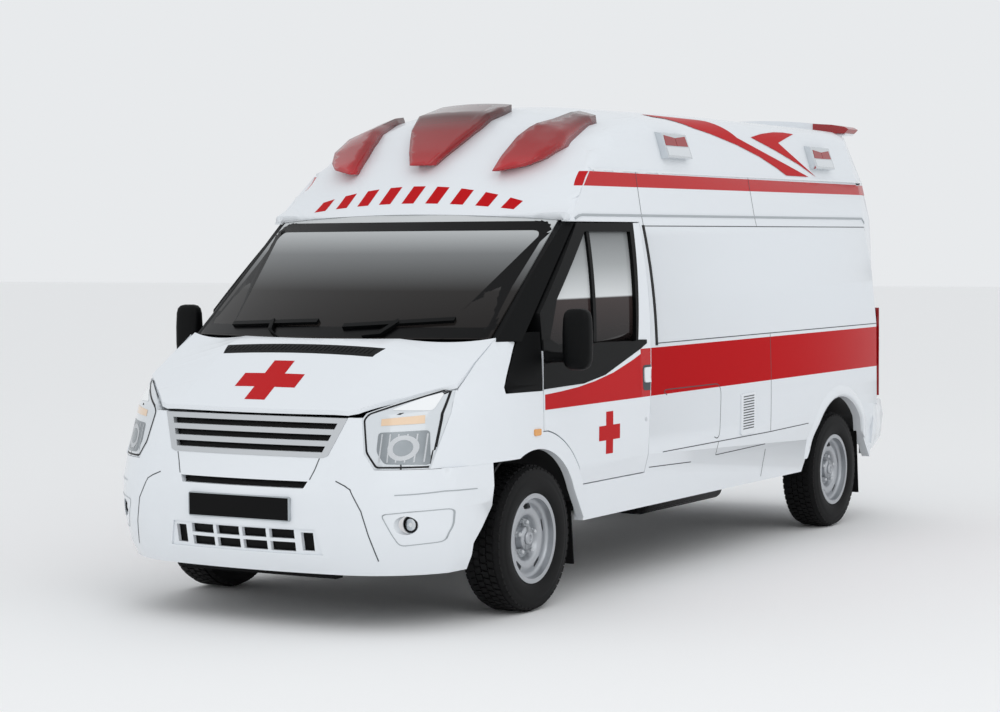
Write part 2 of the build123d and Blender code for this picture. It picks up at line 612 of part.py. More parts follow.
with BuildPart() as front_wings:
    for side in (1, -1):
        loft([wing_strip(row, side, 0, WING_T) for row in WING_ROWS], ruled=True)
    with BuildSketch(Plane.XZ.offset(-1100)):
        with BuildLine():
            Polyline((at(DOOR_FRONT + SHUT_GAP), 1049), (at(246), 1052), (at(250), 1082), (at(112), 1284), (at(118), PILLAR_FOOT_Z - SEAT),
                     (at(226), PILLAR_FOOT_Z - SEAT), (at(230), 1306), (at(LAMP_TIP[0] - 6), LAMP_TIP[2] + 4), (at(LAMP_FOOT[0] - 3), WING_SEAM_Z),
                     (at(100), WING_SEAM_Z), (at(100), 300), (at(-492 + SEAT), 300), (at(-492 + SEAT), SILL_Z))
            Line((at(-492 + SEAT), SILL_Z), (at(-sqrt(DOOR_ARC_WING ** 2 - (560 - HUB_Z) ** 2)), 560))
            ThreePointArc((at(-sqrt(DOOR_ARC_WING ** 2 - (560 - HUB_Z) ** 2)), 560),
                          (at(-DOOR_ARC_WING * 0.72), HUB_Z + DOOR_ARC_WING * 0.694),
                          (at(-95), HUB_Z + sqrt(DOOR_ARC_WING ** 2 - 95 ** 2)))
            Polyline((at(-95), HUB_Z + sqrt(DOOR_ARC_WING ** 2 - 95 ** 2)), (at(DOOR_FRONT + SHUT_GAP), HUB_Z + sqrt(DOOR_ARC_WING ** 2 - 95 ** 2)),
                     (at(DOOR_FRONT + SHUT_GAP), 1049))
        make_face()
    extrude(amount=2200, mode=Mode.INTERSECT)
    extrude(arch_face(1100, 0, ARCH_R_FRONT, ARCH_FOOT_FRONT), amount=2200, mode=Mode.SUBTRACT)
    add(bonnet_room.part, mode=Mode.SUBTRACT)
    add(bonnet_stops.part)
front_wings.part.label = "front_wings"
export_step(front_wings.part, "parts/front_wings.step")

with BuildPart() as corner_trims:
    for side in (1, -1):
        loft([wing_strip(row, side, 1, WING_T) for row in WING_ROWS[:3]], ruled=True)
    extrude(side_face(1100, trim_outline), amount=2200, mode=Mode.INTERSECT)
corner_trims.part.label = "corner_trims"
export_step(corner_trims.part, "parts/corner_trims.step")

# ---- Nose: one outer form for bumper, fascia, grille and headlamps -----------------------------
# height, nose, knee (station, half width), middle of the corner, flank, rear half width
NOSE_ROWS = ((262, 972, (940, 470), (845, 720), (640, 885), 905),
             (330, 1003, (968, 480), (866, 745), (645, 912), 935),
             (450, 1027, (984, 500), (884, 770), (655, 935), 955),
             (560, 1035, (989, 505), (889, 777), (655, 942), 964),
             (640, 1029, (984, 505), (884, 775), (650, 945), 975),
             (744, 992, (955, 495), (872, 750), (640, 940), 970),
             (800, 975, (948, 480), (862, 740), (625, 930), 965),
             (985, 908, (890, 517), (800, 742), (600, 905), 945),
             (1120, 790, (770, 490), (690, 690), (540, 878), 915))
NOSE_REAR = 380
BUMPER_T = 34
FASCIA_TOP = 970
GRILLE_OUTLINE = ((-517, 968), (-445, 800), (-420, 790), (420, 790), (445, 800), (517, 968))
GRILLE_ROOM = ((-532, 1000), (-517, 968), (-445, 800), (-420, 790), (420, 790), (445, 800), (517, 968), (532, 1000))
LAMP_OUTLINE = ((885, 1114), (600, 992), (583, 965), (616, 815), (668, 742), (900, 742), (960, 1114))


def nose_section(row, inset):
    """Plan section of the nose at one height, moved in by inset."""
    z, nose, knee, middle, flank, rear_half = row
    nose -= inset
    knee = (knee[0] - inset, knee[1] - inset * 0.2)
    middle = (middle[0] - inset * 0.8, middle[1] - inset * 0.6)
    flank = (flank[0] - inset * 0.3, flank[1] - inset)
    rear = rear_half - inset
    with BuildSketch(Plane.XY.offset(z)) as section:
        with BuildLine():
            ThreePointArc((at(knee[0]), -knee[1]), (at(nose), 0), (at(knee[0]), knee[1]))
            ThreePointArc((at(knee[0]), knee[1]), (at(middle[0]), middle[1]), (at(flank[0]), flank[1]))
            Polyline((at(flank[0]), flank[1]), (at(NOSE_REAR), rear), (at(NOSE_REAR), -rear), (at(flank[0]), -flank[1]))
            ThreePointArc((at(flank[0]), -flank[1]), (at(middle[0]), -middle[1]), (at(knee[0]), -knee[1]))
        make_face()
    return section.sketch


def front_face(points):
    """Front-view outline (y, z) behind the nose; it extrudes forwards."""
    return cross_face(NOSE_REAR - 20, points)


LOWER_OPENING = ((-430, 352), (-400, 470), (400, 470), (430, 352))
SLOT_OPENING = ((-343, 652), (-360, 684), (360, 684), (343, 652))
FOG_Z = 495
FOG_Y = 800
FOG_R = 42

with BuildPart() as nose_outer:
    loft([nose_section(row, 0) for row in NOSE_ROWS], ruled=True)

with BuildPart() as front_bumper:
    add(nose_outer.part)
    loft([nose_section(row, BUMPER_T) for row in NOSE_ROWS], ruled=True, mode=Mode.SUBTRACT)
    extrude(plan_face(FASCIA_TOP, ((-200, -1100), (1200, -1100), (1200, 1100), (-200, 1100))), amount=400, mode=Mode.SUBTRACT)
    add(bonnet_room.part, mode=Mode.SUBTRACT)
    for side in (1, -1):
        extrude(front_face([(side * y, z) for y, z in LAMP_OUTLINE]), amount=800, mode=Mode.SUBTRACT)
        extrude(side_face(side * 500 + 500, ((300, WING_SEAM_Z - SEAT), (LAMP_FOOT[0] + 20, WING_SEAM_Z - SEAT), (300, 1200))),
                amount=1000, mode=Mode.SUBTRACT)
        with BuildSketch(Plane.YZ.offset(at(500))):
            with Locations((side * FOG_Y, FOG_Z)):
                Circle(FOG_R)
        extrude(amount=600, mode=Mode.SUBTRACT)
    extrude(front_face(GRILLE_ROOM), amount=800, mode=Mode.SUBTRACT)
    extrude(front_face(LOWER_OPENING), amount=800, mode=Mode.SUBTRACT)
    extrude(front_face(SLOT_OPENING), amount=800, mode=Mode.SUBTRACT)
    extrude(arch_face(1100, 0, ARCH_R_FRONT, ARCH_FOOT_FRONT), amount=2200, mode=Mode.SUBTRACT)
front_bumper.part.label = "front_bumper"
export_step(front_bumper.part, "parts/front_bumper.step")

with BuildPart() as headlamps:
    loft([nose_section(row, 1) for row in NOSE_ROWS[5:]], ruled=True)
    loft([nose_section(row, 90) for row in NOSE_ROWS[4:]], ruled=True, mode=Mode.SUBTRACT)
    with BuildSketch(Plane.YZ.offset(at(NOSE_REAR - 20))):
        for side in (1, -1):
            with BuildLine():
                Polyline([(side * y, z) for y, z in shrunk(LAMP_OUTLINE, SEAT * 1.4)], close=True)
            make_face()
    extrude(amount=800, mode=Mode.INTERSECT)
    extrude(side_face(1100, ((300, 700), (LAMP_FOOT[0], LAMP_FOOT[2]), LAMP_TIP[0::2], (300, 1200))), amount=2200, mode=Mode.SUBTRACT)
    add(bonnet_room.part, mode=Mode.SUBTRACT)
headlamps.part.label = "headlamps"
export_step(headlamps.part, "parts/headlamps.step")

GRILLE_BARS = 3
GRILLE_FRAME = 24
with BuildPart() as grille:
    loft([nose_section(row, -2) for row in NOSE_ROWS[5:8]], ruled=True)
    loft([nose_section(row, 30) for row in NOSE_ROWS[5:8]], ruled=True, mode=Mode.SUBTRACT)
    extrude(front_face(shrunk(GRILLE_OUTLINE, SEAT * 2)), amount=800, mode=Mode.INTERSECT)
    slot_pitch = (968 - 790 - GRILLE_FRAME) / GRILLE_BARS
    for count in range(GRILLE_BARS):
        low = 790 + GRILLE_FRAME + count * slot_pitch
        high = low + slot_pitch - GRILLE_FRAME
        half_low = 445 + (low - 800) * 0.43 - GRILLE_FRAME * 1.6
        half_high = 445 + (high - 800) * 0.43 - GRILLE_FRAME * 1.6
        extrude(front_face(((-half_low, low), (half_low, low), (half_high, high), (-half_high, high))),
                amount=800, mode=Mode.SUBTRACT)
grille.part.label = "grille"
export_step(grille.part, "parts/grille.step")

# ---- Lower grille, number plate, fog lamps -----------------------------------------------------
LOWER_CELLS = (-292, -96, 100, 296)
LOWER_INNER = 300
with BuildPart() as lower_grille:
    loft([nose_section(row, 8) for row in NOSE_ROWS[:4]], ruled=True)
    loft([nose_section(row, 30) for row in NOSE_ROWS[:4]], ruled=True, mode=Mode.SUBTRACT)
    extrude(front_face(shrunk(LOWER_OPENING, SEAT)), amount=800, mode=Mode.INTERSECT)
    with BuildSketch(Plane.YZ.offset(at(NOSE_REAR))):
        for low in (366, 424):
            for cell in range(4):
                with Locations(((cell - 1.5) * 150, low + 18)):
                    Rectangle(132, 42)
        for side in (1, -1):
            with Locations((side * 357, 411)):
                Rectangle(62, 84)
    extrude(amount=800, mode=Mode.SUBTRACT)
lower_grille.part.label = "lower_grille"
export_step(lower_grille.part, "parts/lower_grille.step")

with BuildPart() as number_plate:
    with BuildSketch(Plane.YZ.offset(at(960))):
        with Locations((0, 557)):
            RectangleRounded(570, 112, 12)
    extrude(amount=FRONT_OVERHANG - 960)
    add(nose_outer.part, mode=Mode.SUBTRACT)
number_plate.part.label = "number_plate"
export_step(number_plate.part, "parts/number_plate.step")

with BuildPart() as fog_lamps:
    for side in (1, -1):
        with BuildSketch(Plane.YZ.offset(at(700))):
            with Locations((side * FOG_Y, FOG_Z)):
                Circle(FOG_R - SEAT)
        extrude(amount=120)
fog_lamps.part.label = "fog_lamps"
export_step(fog_lamps.part, "parts/fog_lamps.step")

# ---- Underbody ---------------------------------------------------------------------------------
FLOOR_HALF = 932.7
RAIL_Y = 470
RAIL_W = 80
RAIL_H = 100
FLOOR_FRONT = 36
BULKHEAD_X = -1300
BULKHEAD_T = 20
WHEELHOUSE_R = 462
FRONT_RING_FOOT = 130                # wheelhouse rings end this far above the hubs
REAR_RING_FOOT = 215
WHEELHOUSE_T = 12
WHEELHOUSE_INNER = 545
ARM_Z = 190
ARM_TOP = 215
KINGPIN_Y = 725
RAIL_TOP = FLOOR_TOP - FLOOR_T
NOSE_BEAM_X = 640
SUBFRAME_TOP = 280
CAB_FLOOR_HALF = 915

with BuildPart() as underbody:
    with BuildSketch(Plane.XY.offset(RAIL_TOP)):
        with Locations((at((FLOOR_FRONT + rear_x(FLOOR_TOP, PORTAL_T)) / 2), 0)):
            Rectangle(FLOOR_FRONT - rear_x(FLOOR_TOP, PORTAL_T) - 2 * SEAT, FLOOR_HALF * 2)
    extrude(amount=FLOOR_T)
    for side in (1, -1):
        extrude(plan_face(RAIL_TOP, [(-1250, side * CAB_FLOOR_HALF), (100, side * CAB_FLOOR_HALF), (100, side * 1000), (-1250, side * 1000)]),
                amount=FLOOR_T, mode=Mode.SUBTRACT)
        with BuildSketch(Plane.XZ.offset(-side * 955)):
            with Locations((at(REAR_AXLE), HUB_Z)):
                Circle(ARCH_R_REAR + WHEELHOUSE_T + SEAT)
        extrude(amount=side * 280, mode=Mode.SUBTRACT)
        with BuildSketch(Plane.XZ.offset(-side * 955)):
            with Locations((at(0), HUB_Z)):
                Circle(WHEELHOUSE_R + WHEELHOUSE_T + SEAT)
        extrude(amount=side * (955 - WHEELHOUSE_INNER + WHEELHOUSE_T + SEAT), mode=Mode.SUBTRACT)
        extrude(cross_face(-4600, [(side * RAIL_Y - RAIL_W / 2, RAIL_TOP - RAIL_H), (side * RAIL_Y + RAIL_W / 2, RAIL_TOP - RAIL_H),
                                   (side * RAIL_Y + RAIL_W / 2, RAIL_TOP), (side * RAIL_Y - RAIL_W / 2, RAIL_TOP)]),
                amount=4600 + NOSE_BEAM_X)
        # lower suspension arm: a wishbone from the rail's bracket out to the ball joint
        extrude(plan_face(ARM_Z, [(-170, side * 430), (-110, side * 430), (-30, side * (KINGPIN_Y - 40)), (30, side * (KINGPIN_Y - 40)),
                                  (110, side * 430), (170, side * 430), (45, side * (KINGPIN_Y + 30)), (-45, side * (KINGPIN_Y + 30))]),
                amount=ARM_TOP - ARM_Z)
        for station in (-140, 140):
            extrude(side_face(side * 430 + 30, ((station - 45, ARM_Z), (station + 45, ARM_Z), (station + 45, RAIL_TOP - RAIL_H), (station - 45, RAIL_TOP - RAIL_H))),
                    amount=60)
    for station in (-200, -1300, -2500, -3300, -4400):
        extrude(plan_face(RAIL_TOP - 80, ((station, -RAIL_Y), (station + 70, -RAIL_Y), (station + 70, RAIL_Y), (station, RAIL_Y))),
                amount=80)
    # radiator beam behind the bumper, and the crossmember under the engine
    extrude(plan_face(RAIL_TOP - RAIL_H, ((NOSE_BEAM_X, -760), (NOSE_BEAM_X + 60, -760), (NOSE_BEAM_X + 60, 760), (NOSE_BEAM_X, 760))), amount=RAIL_H)
    extrude(plan_face(ARM_Z + 20, ((-170, -430), (330, -430), (330, 430), (-170, 430))), amount=SUBFRAME_TOP - ARM_Z - 20)
    add(rear_frame.part, mode=Mode.SUBTRACT)
underbody.part.label = "underbody"
export_step(underbody.part, "parts/underbody.step")


def wheelhouse_ring(station, radius, thickness, y_outer, y_inner):
    """Half-round wheelhouse section in side view between two radii; it extrudes inwards."""
    with BuildSketch(Plane.XZ.offset(-y_outer)) as ring:
        with Locations((at(station), HUB_Z)):
            Circle(radius + thickness)
            Circle(radius, mode=Mode.SUBTRACT)
            with Locations((0, -radius)):
                Rectangle(3 * radius, 2 * radius + 160, mode=Mode.SUBTRACT)
    return ring.sketch


with BuildPart() as front_wheelhouses:
    for side in (1, -1):
        with BuildSketch(Plane.XZ.offset(-side * 1000)):
            with Locations((at(0), HUB_Z)):
                Circle(WHEELHOUSE_R + WHEELHOUSE_T)
            with Locations((at(0), HUB_Z - WHEELHOUSE_R)):
                Rectangle(4 * WHEELHOUSE_R, 2 * WHEELHOUSE_R + 2 * FRONT_RING_FOOT, mode=Mode.SUBTRACT)
        extrude(amount=side * (1000 - WHEELHOUSE_INNER + WHEELHOUSE_T))
        with BuildSketch(Plane.XZ.offset(-side * 1000)):
            with Locations((at(0), HUB_Z)):
                Circle(WHEELHOUSE_R)
        extrude(amount=side * (1000 - WHEELHOUSE_INNER), mode=Mode.SUBTRACT)
    for side in (1, -1):
        loft([wing_strip(row, side, 200, WING_T + SEAT) for row in WING_ROWS], ruled=True, mode=Mode.SUBTRACT)
front_wheelhouses.part.label = "front_wheelhouses"
export_step(front_wheelhouses.part, "parts/front_wheelhouses.step")

REAR_HOUSE_INNER = 690
with BuildPart() as rear_wheelhouses:
    for side in (1, -1):
        with BuildSketch(Plane.XZ.offset(-side * 1000)):
            with Locations((at(REAR_AXLE), HUB_Z)):
                Circle(ARCH_R_REAR + WHEELHOUSE_T)
            with Locations((at(REAR_AXLE), HUB_Z - ARCH_R_REAR)):
                Rectangle(4 * ARCH_R_REAR, 2 * ARCH_R_REAR + 2 * REAR_RING_FOOT, mode=Mode.SUBTRACT)
        extrude(amount=side * (1000 - REAR_HOUSE_INNER + WHEELHOUSE_T))
        with BuildSketch(Plane.XZ.offset(-side * 1000)):
            with Locations((at(REAR_AXLE), HUB_Z)):
                Circle(ARCH_R_REAR)
        extrude(amount=side * (1000 - REAR_HOUSE_INNER), mode=Mode.SUBTRACT)
    for side in (1, -1):
        extrude(wall_face(-4720, side, WALL_T + SEAT + 60, -60), amount=2000, mode=Mode.SUBTRACT)
rear_wheelhouses.part.label = "rear_wheelhouses"
export_step(rear_wheelhouses.part, "parts/rear_wheelhouses.step")

# ---- Bulkhead, engine, tank, exhaust, driveline ------------------------------------------------
with BuildPart() as bulkhead:
    with BuildSketch(Plane.YZ.offset(at(BULKHEAD_X))):
        with BuildLine():
            Polyline((932 - 20, FLOOR_TOP + SEAT), (984 - WALL_T - SEAT, 1226))
            ThreePointArc((984 - WALL_T - SEAT, 1226), (953 - WALL_T - SEAT, 1555), (887 - WALL_T - SEAT, 1888))
            Polyline((887 - WALL_T - SEAT, 1888), (845 - WALL_T - SEAT, GUTTER_Z - 10), (0, GUTTER_Z - 10), (0, FLOOR_TOP + SEAT), (932 - 20, FLOOR_TOP + SEAT))
        make_face()
        mirror(about=Plane.YZ)
    extrude(amount=BULKHEAD_T)
bulkhead.part.label = "bulkhead"
export_step(bulkhead.part, "parts/bulkhead.step")

with BuildPart() as engine_block:
    with BuildSketch(Plane.XY.offset(SUBFRAME_TOP + SEAT)):
        with Locations((at(350), 0)):
            RectangleRounded(500, 560, 60)
    extrude(amount=560)
engine_block.part.label = "engine_block"
export_step(engine_block.part, "parts/engine_block.step")

with BuildPart() as fuel_tank:
    with BuildSketch(Plane.YZ.offset(at(-2300))):
        with Locations((705, 455)):
            RectangleRounded(330, 290, 60)
    extrude(amount=900)
    for station in (-2150, -1550):
        with BuildSketch(Plane.YZ.offset(at(station))):
            with Locations((705, (590 + RAIL_TOP - SEAT) / 2)):
                Rectangle(60, RAIL_TOP - 590 - SEAT)
        extrude(amount=60)
fuel_tank.part.label = "fuel_tank"
export_step(fuel_tank.part, "parts/fuel_tank.step")

EXHAUST_R = 27
with BuildPart() as exhaust:
    with BuildLine() as exhaust_line:
        FilletPolyline((at(100 - SEAT), -200, 430), (at(-40), -200, 430), (at(-260), -330, 430), (at(-900), -330, 430), (at(-1500), -640, 420), (at(-2900), -640, 420),
                       (at(-3060), -900, 345), radius=60)
    with BuildSketch(Plane(origin=exhaust_line.line @ 0, z_dir=exhaust_line.line % 0)):
        Circle(EXHAUST_R)
    sweep()
    with BuildSketch(Plane.YZ.offset(at(-2700))):
        with Locations((-640, 420)):
            Ellipse(120, 75)
    extrude(amount=800)
    for station in (-2600, -2000):
        with BuildSketch(Plane.YZ.offset(at(station))):
            with Locations((-640, (480 + RAIL_TOP - SEAT) / 2)):
                Rectangle(40, RAIL_TOP - SEAT - 480)
        extrude(amount=30)
exhaust.part.label = "exhaust"
export_step(exhaust.part, "parts/exhaust.step")

AXLE_TUBE_R = 42
SPINDLE_R = 20                       # in the wheels' hubs, a running gap all round
SPINDLE_END = 40
DRUM_R = 150
SPRING_Y = 560
with BuildPart() as rear_axle:
    with BuildSketch(Plane.XZ.offset(760)):
        with Locations((at(REAR_AXLE), HUB_Z)):
            Circle(AXLE_TUBE_R)
    extrude(amount=-1520)
    with BuildSketch(Plane.XZ.offset(100)):
        with Locations((at(REAR_AXLE), HUB_Z)):
            Circle(125)
    extrude(amount=-200)
    for side in (1, -1):
        with BuildSketch(Plane.XZ.offset(-side * 760)):
            with Locations((at(REAR_AXLE), HUB_Z)):
                Circle(DRUM_R)
        extrude(amount=-side * 50)
        with BuildSketch(Plane.XZ.offset(-side * (TRACK_REAR / 2 + SPINDLE_END))):
            with Locations((at(REAR_AXLE), HUB_Z)):
                Circle(SPINDLE_R)
        extrude(amount=side * 100)
        with BuildSketch(Plane.XZ.offset(-side * (SPRING_Y + 35))):
            with BuildLine():
                ThreePointArc((at(REAR_AXLE - 700), 500), (at(REAR_AXLE), 385), (at(REAR_AXLE + 700), 500))
                Line((at(REAR_AXLE + 700), 500), (at(REAR_AXLE + 690), 524))
                ThreePointArc((at(REAR_AXLE + 690), 524), (at(REAR_AXLE), 415), (at(REAR_AXLE - 690), 524))
                Line((at(REAR_AXLE - 690), 524), (at(REAR_AXLE - 700), 500))
            make_face()
        extrude(amount=side * 70)
        for end in (-1, 1):
            extrude(side_face(side * SPRING_Y + 35, ((REAR_AXLE + end * 660, 500), (REAR_AXLE + end * 720, 500),
                                                     (REAR_AXLE + end * 720, RAIL_TOP - SEAT), (REAR_AXLE + end * 660, RAIL_TOP - SEAT))), amount=70)
rear_axle.part.label = "rear_axle"
export_step(rear_axle.part, "parts/rear_axle.step")

with BuildPart() as propshaft:
    with BuildLine() as shaft_line:
        Line((at(100 - SEAT), 0, 440), (at(REAR_AXLE + 40), 0, HUB_Z))
    with BuildSketch(Plane(origin=shaft_line.line @ 0, z_dir=(-1, 0, 0))):
        Circle(36)
    sweep()
    add(rear_axle.part, mode=Mode.SUBTRACT)
propshaft.part.label = "propshaft"
export_step(propshaft.part, "parts/propshaft.step")

# ---- Rear bumper, mud flaps, lamps -------------------------------------------------------------
REAR_BUMPER_FACE = REAR_END
# height and inset of the bumper's corners
BUMPER_ROWS = ((BUMPER_REAR_FOOT, 60), (480, 14), (620, 0), (BUMPER_REAR_TOP - SEAT, 14))


def bumper_section(z, inset, side):
    """Plan of one rear bumper corner at a height, its face moved in by inset."""
    with BuildSketch(Plane.XY.offset(z)) as corner:
        with BuildLine():
            Polyline([(at(x), side * y) for x, y in ((BUMPER_REAR_FRONT - SEAT, 890), (BUMPER_REAR_FRONT - SEAT, 989 - inset),
                                                     (-4380, 984 - inset), (-4480, 948 - inset), (-4610, 908 - inset),
                                                     (REAR_BUMPER_FACE + inset * 0.6, 880 - inset), (REAR_BUMPER_FACE + inset * 0.6, 780),
                                                     (-4690, 780), (-4600, 820), (-4480, 850), (-4380, 880))], close=True)
        make_face()
    return corner.sketch


with BuildPart() as rear_bumper:
    for side in (1, -1):
        for (z0, inset0), (z1, inset1) in zip(BUMPER_ROWS, BUMPER_ROWS[1:]):
            loft([bumper_section(z0, inset0, side), bumper_section(z1, inset1, side)], ruled=True)
        extrude(plan_face(PORTAL_FOOT + 50, ((REAR_BUMPER_FACE - 5, 0), (REAR_BUMPER_FACE - 5, side * 836), (-4640, side * 836), (-4640, 0))),
                amount=400, mode=Mode.SUBTRACT)
    extrude(plan_face(BUMPER_REAR_FOOT + 20, ((REAR_BUMPER_FACE, -780), (REAR_BUMPER_FACE, 780), (-4731, 780), (-4731, -780))),
            amount=PORTAL_FOOT + 30 - BUMPER_REAR_FOOT)
    for piece in (rear_frame.part, underbody.part, body_solids[0], body_solids[1]):
        add(piece, mode=Mode.SUBTRACT)
rear_bumper.part.label = "rear_bumper"
export_step(rear_bumper.part, "parts/rear_bumper.step")

with BuildPart() as mud_flaps:
    for side in (1, -1):
        for station, top, y_mid in ((-449, HUB_Z + FRONT_RING_FOOT, 830), (REAR_AXLE - 400, HUB_Z + REAR_RING_FOOT, 848)):
            extrude(side_face(side * y_mid + 85, ((station, top - SEAT), (station - 35, 165), (station - 43, 165), (station - 8, top - SEAT))),
                    amount=170)
    for piece in body_solids:
        add(piece, mode=Mode.SUBTRACT)
mud_flaps.part.label = "mud_flaps"
export_step(mud_flaps.part, "parts/mud_flaps.step")

with BuildPart() as side_flashers:
    for side in (1, -1):
        for station, low in ((-1950, 2195), (-3964, 2184)):
            y_low = upper_wall(low)
            y_high = upper_wall(low + 146)
            with BuildSketch(Plane.YZ.offset(at(station))):
                with BuildLine():
                    Polyline((side * (y_low + SEAT), low), (side * (y_low + 42), low + 8), (side * (y_high + 42), low + 138), (side * (y_high + SEAT), low + 146), close=True)
                make_face()
            extrude(amount=296)
side_flashers.part.label = "side_flashers"
export_step(side_flashers.part, "parts/side_flashers.step")

LENS_PROUD = 34
# half outlines seen from ahead, half width and height
MID_LENS = ((57, 2150), (88, 2196), (150, 2285), (187, 2345), (214, 2423), (214, 2600))
SIDE_LENS = ((432, 2112), (440, 2204), (455, 2288), (480, 2343), (530, 2392), (560, 2470), (640, 2470), (655, 2350), (676, 2240), (628, 2177),
             (557, 2137))
with BuildPart() as lens_blanks:
    with BuildSketch(Plane.YZ.offset(at(-1105))):
        with BuildLine():
            Polyline([(y, z) for y, z in MID_LENS] + [(-y, z) for y, z in reversed(MID_LENS)], close=True)
        make_face()
    extrude(amount=800)
    with BuildSketch(Plane.YZ.offset(at(-1235))):
        for side in (1, -1):
            with BuildLine():
                Polyline([(side * y, z) for y, z in SIDE_LENS], close=True)
            make_face()
    extrude(amount=900)

with BuildPart() as roof_beacons_front:
    loft([roof_section(row, -LENS_PROUD) for row in ROOF_STATIONS[:7]], ruled=True)
    add(lens_blanks.part, mode=Mode.INTERSECT)
    add(roof_outer.part, mode=Mode.SUBTRACT)
roof_beacons_front.part.label = "roof_beacons_front"
export_step(roof_beacons_front.part, "parts/roof_beacons_front.step")

# Light bar across the roof's rear edge: an arched carrier on three feet, with a lamp at each end.
BAR_REAR = -4700
BAR_DEPTH = 140
with BuildPart() as roof_spoiler:
    with BuildSketch(Plane.YZ.offset(at(BAR_REAR))):
        with BuildLine():
            ThreePointArc((-470, 2512), (0, 2540), (470, 2512))
            Polyline((470, 2512), (470, 2458), (490, 2442), (690, 2442), (690, 2430), (485, 2430), (440, 2472))
            ThreePointArc((440, 2472), (0, 2498), (-440, 2472))
            Polyline((-440, 2472), (-485, 2430), (-690, 2430), (-690, 2442), (-490, 2442), (-470, 2458), (-470, 2512))
        make_face()
    extrude(amount=BAR_DEPTH)
    for y_mid, top in ((-600, 2431), (0, 2510), (600, 2431)):
        extrude(plan_face(2330, ((BAR_REAR + 60, y_mid - 36), (BAR_REAR + BAR_DEPTH + 20, y_mid - 36), (BAR_REAR + BAR_DEPTH + 20, y_mid + 36),
                                 (BAR_REAR + 60, y_mid + 36))), amount=top - 2330)
    add(high_roof.part, mode=Mode.SUBTRACT)
    extrude(side_face(900, ((rear_x(2300) + 42, 2300), (rear_x(2443) + 42, 2443), (-4400, 2443), (-4400, 2300))), amount=1800, mode=Mode.SUBTRACT)
roof_spoiler.part.label = "roof_spoiler"
export_step(roof_spoiler.part, "parts/roof_spoiler.step")

with BuildPart() as rear_beacons:
    for side in (1, -1):
        with BuildSketch(Plane.YZ.offset(at(BAR_REAR - 12))):
            with BuildLine():
                Polyline([(side * y, z) for y, z in ((470 + SEAT, 2510), (600, 2500), (690, 2484), (718, 2468), (700, 2450), (690, 2442 + SEAT),
                                                     (490, 2442 + SEAT), (470 + SEAT, 2458))], close=True)
            make_face()
    extrude(amount=BAR_DEPTH + 24)
rear_beacons.part.label = "rear_beacons"
export_step(rear_beacons.part, "parts/rear_beacons.step")

# half plan of a lamp on the corner's chamfer: station and half width, front to rear along its face, then back inside
TAIL_LAMP = ((-4500, 948), (-4600, 906), (-4664, 884), (-4664, 838), (-4600, 860), (-4500, 905))
with BuildPart() as tail_lamps:
    for side in (1, -1):
        extrude(plan_face(760, [(x, side * y) for x, y in TAIL_LAMP]), amount=560)
    for piece in (body_solids[0], body_solids[1], rear_frame.part):
        add(piece, mode=Mode.SUBTRACT)
    with BuildPart(mode=Mode.SUBTRACT):
        extrude(plan_face(700, ((-4800, -836), (-4300, -836), (-4300, 836), (-4800, 836))), amount=800)
tail_lamps.part.label = "tail_lamps"
export_step(tail_lamps.part, "parts/tail_lamps.step")

# ---- Running gear that turns -------------------------------------------------------------------
def tyre_profile(y_mid, x):
    """Half-section of a tyre in the plane that holds its axle."""
    with BuildSketch(Plane.YZ.offset(x)) as profile:
        with BuildLine():
            Polyline((y_mid - 86, HUB_Z + RIM_R + RIM_GAP), (y_mid + 86, HUB_Z + RIM_R + RIM_GAP), (y_mid + 86, HUB_Z + 218))
            ThreePointArc((y_mid + 86, HUB_Z + 218), (y_mid + TYRE_WIDTH / 2, HUB_Z + 275), (y_mid + 96, HUB_Z + 332))
            Polyline((y_mid + 96, HUB_Z + 332), (y_mid + 78, HUB_Z + TYRE_R - 3), (y_mid + 40, HUB_Z + TYRE_R),
                     (y_mid - 40, HUB_Z + TYRE_R), (y_mid - 78, HUB_Z + TYRE_R - 3), (y_mid - 96, HUB_Z + 332))
            ThreePointArc((y_mid - 96, HUB_Z + 332), (y_mid - TYRE_WIDTH / 2, HUB_Z + 275), (y_mid - 86, HUB_Z + 218))
            Line((y_mid - 86, HUB_Z + 218), (y_mid - 86, HUB_Z + RIM_R + RIM_GAP))
        make_face()
    return profile.sketch


def rim_profile(y_mid, out, x):
    """Half-section of a pressed steel wheel: barrel, lips and dished disc; out is the outer side."""
    with BuildSketch(Plane.YZ.offset(x)) as profile:
        with BuildLine():
            Polyline([(y_mid + out * y, HUB_Z + r) for y, r in
                      ((-96, 192), (-96, 214), (-87, 214), (-86, RIM_R), (86, RIM_R), (87, 214), (96, 214), (96, 192),
                       (60, 190), (52, 172), (62, 140), (58, 112), (34, 98), (26, 92), (26, 60), (62, 56), (62, 0),
                       (-8, 0), (-8, 86), (18, 100), (44, 118), (48, 140), (36, 172), (20, 192))], close=True)
        make_face()
    return profile.sketch


